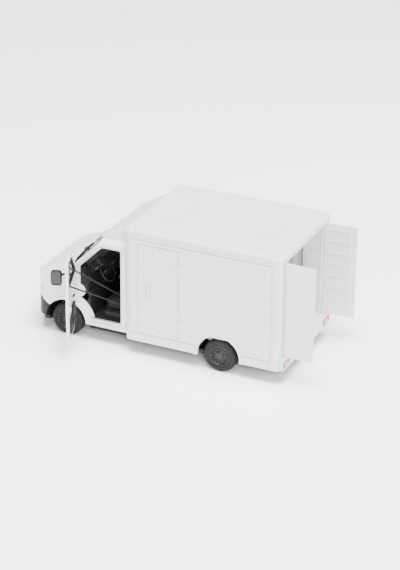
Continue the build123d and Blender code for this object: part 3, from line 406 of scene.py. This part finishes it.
floorLevel = float(ends("front_left_tyre")[0][2])
half = studio["floorSize"] / 2
corners = np.array([[[-half, -half, floorLevel], [half, -half, floorLevel]],
                    [[-half, half, floorLevel], [half, half, floorLevel]]])
floor = gridPiece("studioFloor", corners, closedColumns=False, caps=False)
if floor.data.polygons[0].normal.z < 0:
    floor.data.flip_normals()
floor.data.materials.append(mouldedMaterial("paper", (0.93, 0.93, 0.93), 0.01, 3, 300, 0.85, 0.05, 0.02, 0.0))

lamps = {"top": dict(place=(-0.25, 0.25, 1.5), size=0.9, power=105),
         "side": dict(place=(-0.9, 1.3, 0.7), size=0.7, power=34),
         "rear": dict(place=(-1.5, -0.2, 0.5), size=0.7, power=12)}
for lampName, s in lamps.items():
    light = bpy.data.lights.new(lampName, "AREA")
    light.size = s["size"]
    light.energy = s["power"]
    lamp = bpy.data.objects.new(lampName, light)
    lamp.location = s["place"]
    direction = np.array(s["place"]) - np.array(studio["target"])
    yaw = math.atan2(direction[1], direction[0])
    tilt = math.acos(direction[2] / np.linalg.norm(direction))
    lamp.rotation_euler = (0, tilt, yaw)
    bpy.context.scene.collection.objects.link(lamp)
world = bpy.data.worlds.new("studio")
world.use_nodes = True
world.node_tree.nodes["Background"].inputs["Color"].default_value = (1, 1, 1, 1)
world.node_tree.nodes["Background"].inputs["Strength"].default_value = studio["worldStrength"]
bpy.context.scene.world = world
print("studio done")

# door frames of reference

# a leaf's own axes at rest: along runs from the hinge to the free edge and outward leaves the
# truck; the opening angle turns both about the upright hinge
def leafAxes(joint, side, opening):
    turn = math.radians(opening)
    along = np.array([-math.cos(turn), side * math.sin(turn), 0])
    outward = np.array([math.sin(turn), side * math.cos(turn), 0])
    pivot = np.array(jointOf[joint]["pos_m"], dtype=float) * [1, 1, 0]
    return pivot, np.array([along, outward, [0, 0, 1]])


# a point in a leaf's axes: the pivot plus each coordinate times its axis
def onLeaf(leaf, points):
    return leaf[0] + np.array(points, dtype=float) * mm @ leaf[1]


# a rounded loop in a plane: the corners of a polygon softened by repeated corner cutting
def softLoop(corners, cuts=4):
    loop = np.array(corners, dtype=float)
    for _ in range(cuts):
        ahead = np.roll(loop, -1, axis=0)
        loop = np.stack([0.75 * loop + 0.25 * ahead, 0.25 * loop + 0.75 * ahead],
                        axis=1).reshape(-1, loop.shape[1])
    return loop


# points spread evenly along a polygon's edges, so that corner cutting only rounds its corners
def spread(corners, step):
    points = []
    for a, b in zip(corners, np.roll(corners, -1, axis=0)):
        count = max(2, int(np.linalg.norm(b - a) / step))
        points.append(a + (b - a) * np.linspace(0, 1, count, endpoint=False)[:, None])
    return np.vstack(points)


leftCabLeaf = leafAxes("left_cab_door_hinge", 1, 70)
rightCabLeaf = leafAxes("right_cab_door_hinge", -1, 0)

# wheels

wheelLook = {"grooves": (-1.35, 0.0, 1.35), "grooveWidth": 0.34, "grooveDepth": 0.5, "blocks": 44,
             "blockCut": 0.32, "notchFrom": 1.7, "notchBelow": 0.5,
             "sidewall": ((6.45, 0.12), (6.8, 0.05), (6.95, 0.16), (7.1, 0.02), (7.7, 0.0)),
             "shoulder": ((0.8, 0.1), (0.6, 0.32), (0.35, 0.55), (0.08, 0.95), (0.0, 1.3)), "rim": 6.28,
             "slots": 16, "slotDepth": 0.62, "capRadius": 2.3}


# a tyre is a closed profile swung round the axle; its shoulders are cut by a repeated notch,
# whose depth is a clipped cosine of the angle
def makeTyre(node, body, look):
    low, high = ends(node)
    outer = (high[2] - low[2]) / 2 / mm
    half = (high[1] - low[1]) / 2 / mm
    crown = []
    for groove in look["grooves"]:
        w, d = look["grooveWidth"] / 2, look["grooveDepth"]
        crown += [(outer, groove - w - 0.06), (outer - d, groove - w), (outer - d, groove + w),
                  (outer, groove + w + 0.06)]
    wall = [(look["rim"], -half + 0.5)] + [(radius, -half + inset) for radius, inset in look["sidewall"]]
    wall += [(outer - drop, -half + inset) for drop, inset in look["shoulder"]]
    profile = np.array(wall + crown + [(r, -o) for r, o in wall[::-1]]) * mm

    def notch(radius, offset, angle):
        edge = np.clip((np.abs(offset) / mm - look["notchFrom"]) / 0.3, 0, 1)
        edge = edge * np.clip((radius / mm - outer + look["notchBelow"]) / 0.2, 0, 1)
        teeth = np.clip(2.2 * np.cos(look["blocks"] * angle + np.sign(offset) * 1.2) - 0.6, 0, 1)
        return radius - look["blockCut"] * mm * edge * teeth, offset + 0 * angle

    tyre = turned(node + "Detailed", profile, middle(node), (0, 1, 0), 264, shift=notch)
    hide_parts(node)
    finished(tyre, body, "tyre_rubber")


# a hub is a dished profile; slots are pressed into its face by a window of the radius times a
# clipped cosine of the angle
def makeHub(node, body, look):
    low, high = ends(node)
    half = (high[1] - low[1]) / 2 / mm
    side = 1 if middle(node)[1] > 0 else -1
    profile = [(0.02, half), (0.9, half), (1.5, half - 0.04), (look["capRadius"] - 0.25, half - 0.12),
               (look["capRadius"], half - 0.4), (look["capRadius"] + 0.08, half - 0.9), (2.75, half - 1.0),
               (3.3, half - 1.0), (3.42, half - 1.0), (3.54, half - 1.0), (4.3, half - 0.96),
               (5.0, half - 0.92),
               (5.12, half - 0.9), (5.24, half - 0.86), (5.42, half - 0.4), (5.6, half - 0.1), (5.8, half),
               (6.1, half), (look["rim"], half - 0.14), (look["rim"], -half), (4.9, -half),
               (4.7, -half + 1.6),
               (2.2, -half + 1.8), (2.0, -half + 0.6), (0.02, -half + 0.6)]
    profile = np.array(profile) * mm

    def slots(radius, offset, angle):
        r = radius / mm
        window = np.clip((r - 3.38) / 0.08, 0, 1) * np.clip((5.18 - r) / 0.08, 0, 1) * (offset > 0)
        ring = np.clip(4 * np.cos(look["slots"] * angle) - 1.0, 0, 1)
        nuts = np.exp(-((r - 2.75) / 0.2) ** 2) * np.clip(3 * np.cos(8 * angle) - 1.6, 0, 1) * (offset > 0)
        return radius + 0 * angle, offset + mm * (0.25 * nuts - look["slotDepth"] * window * ring)

    hub = turned(node + "Detailed", profile, middle(node), (0, side, 0), 256, closedProfile=False,
                 shift=slots)
    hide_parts(node)
    finished(hub, body, "black_plastic", "hubMoulding")


for axle in ("front", "rear"):
    for sideName in ("left", "right"):
        makeTyre(f"{axle}_{sideName}_tyre", f"{axle}_wheels", wheelLook)
        makeHub(f"{axle}_{sideName}_hub", f"{axle}_wheels", wheelLook)
print("wheels done")

# seats

seatLook = {"cushionHeight": 5.6, "backThickness": 4.4, "backLean": 7.0, "roundness": 0.34, "flutes": 4,
            "fluteDepth": 0.22, "headWidth": 6.8, "headHeight": 4.6}


# a padded block with lengthwise flutes: a superellipsoid whose thickness is lowered by a
# squared cosine across its width
def flutedBlock(name, centre, size, axes, flutes, depth, roundness):
    v = np.linspace(-math.pi / 2, math.pi / 2, 25)[:, None]
    u = np.linspace(0, 2 * math.pi, 96, endpoint=False)[None, :]

    def power(x):
        return np.sign(x) * np.abs(x) ** roundness

    ring = power(np.cos(v))
    local = np.stack([ring * power(np.cos(u)), ring * power(np.sin(u)), power(np.sin(v)) * np.ones_like(u)],
                     axis=-1)
    valley = np.clip(1 - np.abs(np.sin(flutes * math.pi * (local[..., 0] + 1) / 2)) * 3, 0, 1)
    local *= np.array(size) / 2
    local[..., 2] -= np.sign(local[..., 2]) * depth * valley
    return gridPiece(name, local @ np.array(axes, dtype=float) + np.array(centre))


# a seat is a base, then a fluted cushion, leaning back and headrest for each place
def makeSeat(node, places, look):
    low, high = ends(node)
    width = high[1] - low[1]
    lean = math.radians(look["backLean"])
    seatAxes = [[0, 1, 0], [1, 0, 0], [0, 0, 1]]
    backAxes = [[0, 1, 0], [-math.sin(lean), 0, math.cos(lean)], [math.cos(lean), 0, math.sin(lean)]]
    across = (low[1] + high[1]) / 2
    cushionTop = low[2] + look["cushionHeight"] * mm
    parts = [softBlock("seatBase", (low[0] + 9.2 * mm, across, low[2] + 1.3 * mm),
                       (15 * mm, width * 0.92, 2.4 * mm), 0.2)]
    backBottom, backTop = cushionTop - 2.4 * mm, high[2] - (look["headHeight"] - 0.6) * mm
    step = width / places
    for place in range(places):
        y = low[1] + (place + 0.5) * step
        parts.append(flutedBlock("cushion", (low[0] + 9.3 * mm, y, cushionTop - 1.9 * mm),
                                 (step * 0.98, 15.6 * mm, 3.8 * mm), seatAxes, look["flutes"],
                                 look["fluteDepth"] * mm, look["roundness"]))
        parts.append(flutedBlock("back", (low[0] + 3.6 * mm, y, (backBottom + backTop) / 2),
                                 (step * 0.96, backTop - backBottom, look["backThickness"] * mm), backAxes,
                                 look["flutes"], look["fluteDepth"] * mm, look["roundness"]))
        parts.append(softBlock("head", (low[0] + 1.9 * mm, y, high[2] - look["headHeight"] / 2 * mm),
                               (2.6 * mm, look["headWidth"] * mm, look["headHeight"] * mm), 0.45))
        for post in (-1.3, 1.3):
            parts.append(tube("post", [[low[0] + 2.2 * mm, y + post * mm, backTop - 1.0 * mm],
                                       [low[0] + 2.0 * mm, y + post * mm, high[2] - 2.5 * mm]], 0.3 * mm, 10))
    seat = joined(node + "Padded", parts)
    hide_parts(node)
    finished(seat, "truck", "interior_plastic")


makeSeat("driver_seat", 1, seatLook)
makeSeat("passenger_seat", 2, seatLook)
print("seats done")

# steering wheel and dashboard fittings

steering = {"centre": (29.4, 15.5, 31.9), "rake": 32.0, "radius": 6.2, "grip": 0.55, "column": 7.9,
            "spokes": (90, 205, 335)}
wheelCentre = np.array(steering["centre"]) * mm
rake = math.radians(steering["rake"])
wheelAxis = np.array([-math.cos(rake), 0, math.sin(rake)])
wheelUp = np.array([math.sin(rake), 0, math.cos(rake)])
turnAngle = np.linspace(0, 2 * math.pi, 96, endpoint=False)[:, None]
rimPath = wheelCentre + steering["radius"] * mm * (np.cos(turnAngle) * np.array([0, 1, 0])
                                                   + np.sin(turnAngle) * wheelUp)
gripSize = steering["grip"] * mm * (1 - 0.06 * (np.cos(36 * turnAngle[:, 0]) > 0.2))
wheelParts = [tube("rim", rimPath, gripSize, 14, closed=True)]
for spoke in steering["spokes"]:
    reach = math.radians(spoke)
    outwards = math.cos(reach) * np.array([0, 1, 0]) + math.sin(reach) * wheelUp
    sideways = np.cross(wheelAxis, outwards)
    wheelParts.append(softBlock("spoke", wheelCentre + outwards * 3.5 * mm, (5.4 * mm, 1.3 * mm, 0.6 * mm),
                                0.3,
                                axes=[outwards, sideways, wheelAxis]))
wheelParts.append(softBlock("pad", wheelCentre + wheelAxis * 0.1 * mm, (4.0 * mm, 3.2 * mm, 1.0 * mm), 0.4,
                            axes=[[0, 1, 0], wheelUp, wheelAxis]))
wheelParts.append(tube("column", [wheelCentre - wheelAxis * 0.1 * mm, wheelCentre - wheelAxis * 3 * mm,
                                  wheelCentre - wheelAxis * steering["column"] * mm],
                       [0.95 * mm, 1.05 * mm, 1.2 * mm], 20))
steeringWheel = joined("steeringWheelGripped", wheelParts)
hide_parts("steering_wheel")
finished(steeringWheel, "truck", "black_plastic")

ventLook = {"ys": (-22.0, -8.0, 8.2, 22.8), "width": 5.0, "slats": 4}
ventParts = []
for y in ventLook["ys"]:
    loop = spread(np.array([[34.85, y - ventLook["width"] / 2, 29.6],
                            [34.85, y + ventLook["width"] / 2, 29.6],
                            [35.5, y + ventLook["width"] / 2, 31.6],
                            [35.5, y - ventLook["width"] / 2, 31.6]]), 1.0) * mm
    ventParts.append(tube("ventRing", softLoop(loop, 2), 0.22 * mm, 8, closed=True))
    for slat in range(ventLook["slats"]):
        z = 29.8 + 0.55 * slat
        x = 34.9 + 0.3 * (z - 29.6)
        ventParts.append(softBlock("slat", np.array([x, y, z]) * mm,
                                   (0.5 * mm, (ventLook["width"] - 0.6) * mm, 0.2 * mm), 0.3))
vents = joined("dashboardVents", ventParts)
finished(vents, "truck", "black_plastic", "darkTrim")

consoleLook = {"radio": (33.1, 0.0, 26.6), "knobYs": (-2.6, 0.0, 2.6), "knobX": 33.4, "knobZ": 22.6}
consoleParts = [softBlock("radio", np.array(consoleLook["radio"]) * mm, (0.8 * mm, 7.0 * mm, 2.6 * mm), 0.2)]
for y in consoleLook["knobYs"]:
    consoleParts.append(turned("knob", np.array([(0.02, 0.9), (0.6, 0.9), (0.75, 0.7), (0.8, 0.0),
                                                 (0.02, 0.0)]) * mm,
                               np.array([consoleLook["knobX"], y, consoleLook["knobZ"]]) * mm, (-1, 0, 0.05),
                               32, closedProfile=False))
consoleParts.append(tube("leverStem", np.array([[33.8, -1.5, 17.2], [32.0, -1.6, 18.6],
                                                [30.6, -1.7, 20.6]]) * mm,
                         0.35 * mm, 12))
consoleParts.append(softBlock("leverKnob", np.array([30.5, -1.7, 21.0]) * mm, (1.6 * mm, 1.6 * mm, 1.8 * mm),
                              0.8))
console = joined("consoleFittings", consoleParts)
finished(console, "truck", "black_plastic", "darkTrim")

gaugeParts = []
for y, size in ((12.9, 1.9), (17.8, 1.9), (15.35, 1.2)):
    gaugeParts.append(turned("gauge", np.array([(0.02, 0.12), (size * 0.8, 0.12), (size * 0.86, 0.3),
                                                (size, 0.3),
                                                (size, -0.3), (0.02, -0.3)]) * mm,
                             np.array([35.6, y, 34.4 if size > 1.5 else 36.2]) * mm, (-0.88, 0, 0.47), 48,
                             closedProfile=False))
gauges = joined("instrumentGauges", gaugeParts)
finished(gauges, "truck", "black_plastic", "gaugeFace")
print("cab fittings done")

# windscreen surround and wipers

screen = {"half": 31.5, "sag": 2.4, "lowX": 38.85, "midZ": 46.55}
barrel = (screen["half"] ** 2 + screen["sag"] ** 2) / (2 * screen["sag"])


# a point on the barrel windscreen: across and up the slope, sunk by the barrel's circle, then
# lifted off along the normal
def onScreen(across, up, lift):
    across, up = np.asarray(across, dtype=float), np.asarray(up, dtype=float)
    sink = barrel - np.sqrt(barrel ** 2 - across ** 2)
    rise = (lift - sink) / math.sqrt(2)
    return np.stack([screen["lowX"] - up / math.sqrt(2) + rise, across,
                     screen["midZ"] + up / math.sqrt(2) + rise],
                    axis=-1) * mm


surround = softLoop(spread(np.array([[-27.9, -11.0], [27.9, -11.0], [26.7, 12.0], [-26.7, 12.0]]), 3.0), 3)
screenSeal = tube("windscreenSeal", onScreen(surround[:, 0], surround[:, 1], 0.0), 0.42 * mm, 10, closed=True)
finished(screenSeal, "truck", "black_plastic", "sealRubber")

wiperParts = []
for start, end in ((-24.0, -3.0), (2.0, 23.0)):
    s = np.linspace(0, 1, 24)
    wiperParts.append(tube("blade", onScreen(start + (end - start) * s, -9.4 + 2.0 * s * (1 - s) * 2, 0.7),
                           0.28 * mm, 8))
    wiperParts.append(tube("arm", onScreen(start + 4 + ((end - start) / 2 - 4) * s, -11.2 + 2.4 * s,
                                           1.0 + 0.3 * np.sin(math.pi * s)),
                           0.34 * mm, 8))
    wiperParts.append(softBlock("pivot", onScreen(start + 4, -11.6, 0.5), (1.6 * mm, 1.8 * mm, 1.4 * mm),
                                0.6))
wipers = joined("windscreenWipers", wiperParts)
finished(wipers, "truck", "black_plastic", "darkTrim")
print("windscreen done")

# cab doors: window seals, mirrors, handles and latches

doorLook = {"windowLow": 38.5, "windowHigh": 51.4, "frame": 2.6, "rear": 29.4, "slope": 80.2, "hinge": 42.2}
slopeIn = doorLook["slope"] - doorLook["frame"] * math.sqrt(2)
windowCorners = np.array([[doorLook["hinge"] - (slopeIn - doorLook["windowLow"]), doorLook["windowLow"]],
                          [doorLook["rear"] - doorLook["frame"], doorLook["windowLow"]],
                          [doorLook["rear"] - doorLook["frame"], doorLook["windowHigh"]],
                          [doorLook["hinge"] - (slopeIn - doorLook["windowHigh"]), doorLook["windowHigh"]]])


mirrorLook = {"along": 5.5, "out": 9.55, "z": 33.5, "faceAlong": 6.85, "faceZ": 33.9, "armZ": 35.4}


# a door's fittings are placed in its leaf's own axes, so they follow the leaf's opening angle
def makeDoorFittings(sideName, leaf):
    body = f"{sideName}_cab_door"
    loop = softLoop(spread(windowCorners, 1.6), 3)
    seals = []
    for depth in (-0.78, 0.78):
        path = np.column_stack([loop[:, 0], np.full(len(loop), depth), loop[:, 1]])
        seals.append(tube("seal", onLeaf(leaf, path), 0.5 * mm, 10, closed=True))
    finished(joined(f"{sideName}DoorWindowSeals", seals), body, "black_plastic", "sealRubber")

    mirrorBody = softBlock("housing", onLeaf(leaf, [mirrorLook["along"], mirrorLook["out"],
                                                    mirrorLook["z"]]), (3.0 * mm, 6.3 * mm, 9.0 * mm), 0.36,
                                                    25, 72, leaf[1])
    rib = softBlock("rib", onLeaf(leaf, [5.3, 9.55, 30.6]), (3.0 * mm, 6.0 * mm, 0.5 * mm), 0.3, axes=leaf[1])
    s = np.linspace(0, 1, 12)
    arm = tube("arm", onLeaf(leaf, np.column_stack([mirrorLook["along"] + 0 * s, 0.8 + 6.0 * s,
                                                    mirrorLook["armZ"] + 0.8 * np.sin(math.pi * s)])),
               (0.75 - 0.2 * np.sin(math.pi * s)) * mm, 14)
    foot = softBlock("foot", onLeaf(leaf, [mirrorLook["along"], 1.1, mirrorLook["armZ"]]),
                     (3.0 * mm, 0.9 * mm, 2.6 * mm), 0.5, axes=leaf[1])
    mirror = joined(f"{sideName}MirrorMoulded", [mirrorBody, rib, arm, foot])
    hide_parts(f"{sideName}_mirror_housing")
    finished(mirror, body, "black_plastic")
    face = flutedBlock(f"{sideName}MirrorFace", onLeaf(leaf, [mirrorLook["faceAlong"], mirrorLook["out"],
                                                              mirrorLook["faceZ"]]),
                                                              (5.3 * mm, 7.6 * mm, 0.5 * mm),
                       [leaf[1][1], leaf[1][2], leaf[1][0]], 1, 0.0, 0.3)
    finished(face, body, "black_plastic", "darkMirror")

    grip = [softBlock("bar", onLeaf(leaf, [25.2, 0.95, 31.9]), (4.2 * mm, 0.9 * mm, 0.9 * mm), 0.5,
                      axes=leaf[1]),
            softBlock("lock", onLeaf(leaf, [25.2, 0.75, 29.9]), (1.0 * mm, 0.5 * mm, 1.0 * mm), 0.9,
                      axes=leaf[1])]
    finished(joined(f"{sideName}DoorHandle", grip), body, "black_plastic", "darkTrim")
    latch = softBlock(f"{sideName}DoorLatch", onLeaf(leaf, [27.6, -1.25, 25.5]),
                      (1.8 * mm, 1.3 * mm, 2.2 * mm), 0.3,
                      axes=leaf[1])
    finished(latch, body, "white_paint")
    inside = [softBlock("armrest", onLeaf(leaf, [17.5, -1.4, 22.6]), (11.0 * mm, 1.6 * mm, 1.8 * mm), 0.4,
                        axes=leaf[1]),
              softBlock("pull", onLeaf(leaf, [12.4, -1.2, 26.4]), (3.4 * mm, 0.9 * mm, 1.0 * mm), 0.5,
                        axes=leaf[1]),
              turned("winder", np.array([(0.02, 0.7), (0.9, 0.7), (1.1, 0.4), (1.1, -0.3),
                                         (0.02, -0.3)]) * mm,
                     onLeaf(leaf, [20.5, -1.6, 17.2]), -leaf[1][1], 32, closedProfile=False),
              tube("crank", onLeaf(leaf, [[20.5, -2.2, 17.2], [22.4, -2.3, 16.2], [24.2, -2.2, 15.4]]),
                   0.35 * mm, 10)]
    finished(joined(f"{sideName}DoorInnerFittings", inside), body, "interior_plastic")


makeDoorFittings("left", leftCabLeaf)
makeDoorFittings("right", rightCabLeaf)
print("cab doors done")

# box body fittings

wallY = 35.0
sideDoor = {"hingeX": -24.1, "hingeZs": (17.6, 51.8), "handleX": -5.4, "handleZ": 34.8}
hingeParts = []
for z in sideDoor["hingeZs"]:
    knuckle = np.linspace(-1.9, 1.9, 40)
    ringed = (0.5 + 0.08 * (np.abs(np.sin(knuckle * 2.2)) > 0.25)) * mm
    hingeParts.append(tube("knuckle", np.array([[sideDoor["hingeX"], wallY + 0.65,
                                                 z + k] for k in knuckle]) * mm,
                           ringed, 16))
    for reach in (-1, 1):
        hingeParts.append(softBlock("strap", np.array([sideDoor["hingeX"] + reach * 1.7, wallY + 0.15,
                                                       z]) * mm,
                                    (2.8 * mm, 0.5 * mm, 2.8 * mm), 0.2))
finished(joined("sideDoorHinges", hingeParts), "truck", "box_plastic")
handleParts = [softBlock("bar", np.array([sideDoor["handleX"], wallY + 0.3, sideDoor["handleZ"]]) * mm,
                         (1.1 * mm, 0.8 * mm, 7.6 * mm), 0.35),
               turned("keyhole", np.array([(0.02, 0.3), (0.7, 0.3), (0.85, 0.15), (0.9, -0.2),
                                           (0.02, -0.2)]) * mm,
                      np.array([sideDoor["handleX"], wallY, sideDoor["handleZ"] + 6.6]) * mm, (0, 1, 0), 32,
                      closedProfile=False)]
finished(joined("sideDoorHandle", handleParts), "truck", "box_plastic")

# upright posts and roof bows inside the box
cargoLook = {"firstPost": -62, "lastPost": 3, "posts": 6, "postY": 33.25, "postZ": 42.0, "bowZ": 67.3,
             "deckX": -30.8, "deckZ": 10.85, "deckHalf": 18, "strips": 7}
postXs = np.linspace(cargoLook["firstPost"], cargoLook["lastPost"], cargoLook["posts"])
postParts = []
for x in postXs:
    for side in (-1, 1):
        postParts.append(softBlock("post", np.array([x, side * cargoLook["postY"], cargoLook["postZ"]]) * mm,
                                   (2.0 * mm, 0.9 * mm, 48.0 * mm), 0.12))
    postParts.append(softBlock("bow", np.array([x, 0, cargoLook["bowZ"]]) * mm,
                               (2.0 * mm, 66.0 * mm, 0.9 * mm), 0.12))
# posts, bows and deck strips are box plastic, darkened as painted shade of the box's inside
finished(joined("cargoPosts", postParts), "truck", "box_plastic", "insidePaintedShade")
deckParts = [softBlock("strip", np.array([cargoLook["deckX"], y, cargoLook["deckZ"]]) * mm,
                       (70 * mm, 1.2 * mm, 0.5 * mm), 0.15)
             for y in np.linspace(-cargoLook["deckHalf"], cargoLook["deckHalf"], cargoLook["strips"])]
finished(joined("cargoDeckStrips", deckParts), "truck", "box_plastic", "insidePaintedShade")

for sideName, side in (("left", 1), ("right", -1)):
    low, high = ends(f"tail_lamp_{sideName}")
    lens = flutedBlock(f"{sideName}ReversingLens", np.array([low[0] + 0.12 * mm, (low[1] + high[1]) / 2,
                                                             (low[2] + high[2]) / 2]),
                       (4.6 * mm, 1.3 * mm, 0.5 * mm), [[0, 1, 0], [0, 0, 1], [-1, 0, 0]], 6, 0.06 * mm, 0.2)
    finished(lens, "truck", "lamp_red", "paleLens")
    low, high = ends(f"headlamp_{sideName}")
    place = np.array([high[0] - 6.2 * mm, side * 23.6 * mm, (low[2] + high[2]) / 2])
    bowl = [(0.02, -2.6), (0.9, -2.5), (1.9, -1.9), (2.7, -0.9), (3.1, 0.4), (3.3, 0.4), (3.2, -0.8),
            (2.2, -2.2),
            (1.0, -2.9), (0.02, -3.0)]
    bowlParts = [turned("bowl", np.array(bowl) * mm, place, (1, 0, 0), 64, closedProfile=False),
                 softBlock("bulb", place + np.array([-1.2, 0, 0]) * mm, (2.2 * mm, 1.2 * mm, 1.2 * mm), 0.8)]
    finished(joined(f"{sideName}HeadlampBowl", bowlParts), "truck", "lamp_lens", "reflector")

grilleLook = {"half": 13.6, "uprightHalf": 13, "bow": 54, "wires": 6, "uprights": 21, "points": 30}
grilleLow, grilleHigh = ends("radiator_grille")
mesh = []
for z in np.linspace(grilleLow[2] + 0.6 * mm, grilleHigh[2] - 0.6 * mm, grilleLook["wires"]):
    across = np.linspace(-grilleLook["half"], grilleLook["half"], grilleLook["points"])
    mesh.append(tube("wire",
                     np.column_stack([grilleLow[0] - 0.3 * mm - (across * mm) ** 2 / (2
                         * grilleLook["bow"] * mm),
                                              across * mm, np.full(grilleLook["points"], z)]), 0.3 * mm, 6))
for y in np.linspace(-grilleLook["uprightHalf"], grilleLook["uprightHalf"], grilleLook["uprights"]):
    x = grilleLow[0] - 0.7 * mm - (y * mm) ** 2 / (2 * grilleLook["bow"] * mm)
    mesh.append(tube("wire", np.array([[x, y * mm, grilleLow[2] + 0.3 * mm],
                                       [x, y * mm, (grilleLow[2] + grilleHigh[2]) / 2],
                                       [x, y * mm, grilleHigh[2] - 0.3 * mm]]), 0.3 * mm, 6))
finished(joined("grilleMesh", mesh), "truck", "black_plastic", "darkTrim")

# two tread lines along each doorway sill
sillTread = {"xs": (15.0, 24.0, 33.0), "ys": (29.1, 30.0), "z": 8.3, "radius": 0.22}
treadParts = []
for side in (-1, 1):
    for y in sillTread["ys"]:
        treadParts.append(tube("tread", np.array([[x, side * y,
                                                   sillTread["z"]] for x in sillTread["xs"]]) * mm,
                               sillTread["radius"] * mm, 8))
finished(joined("sillTreads", treadParts), "truck", "black_plastic", "darkTrim")
print("box done")
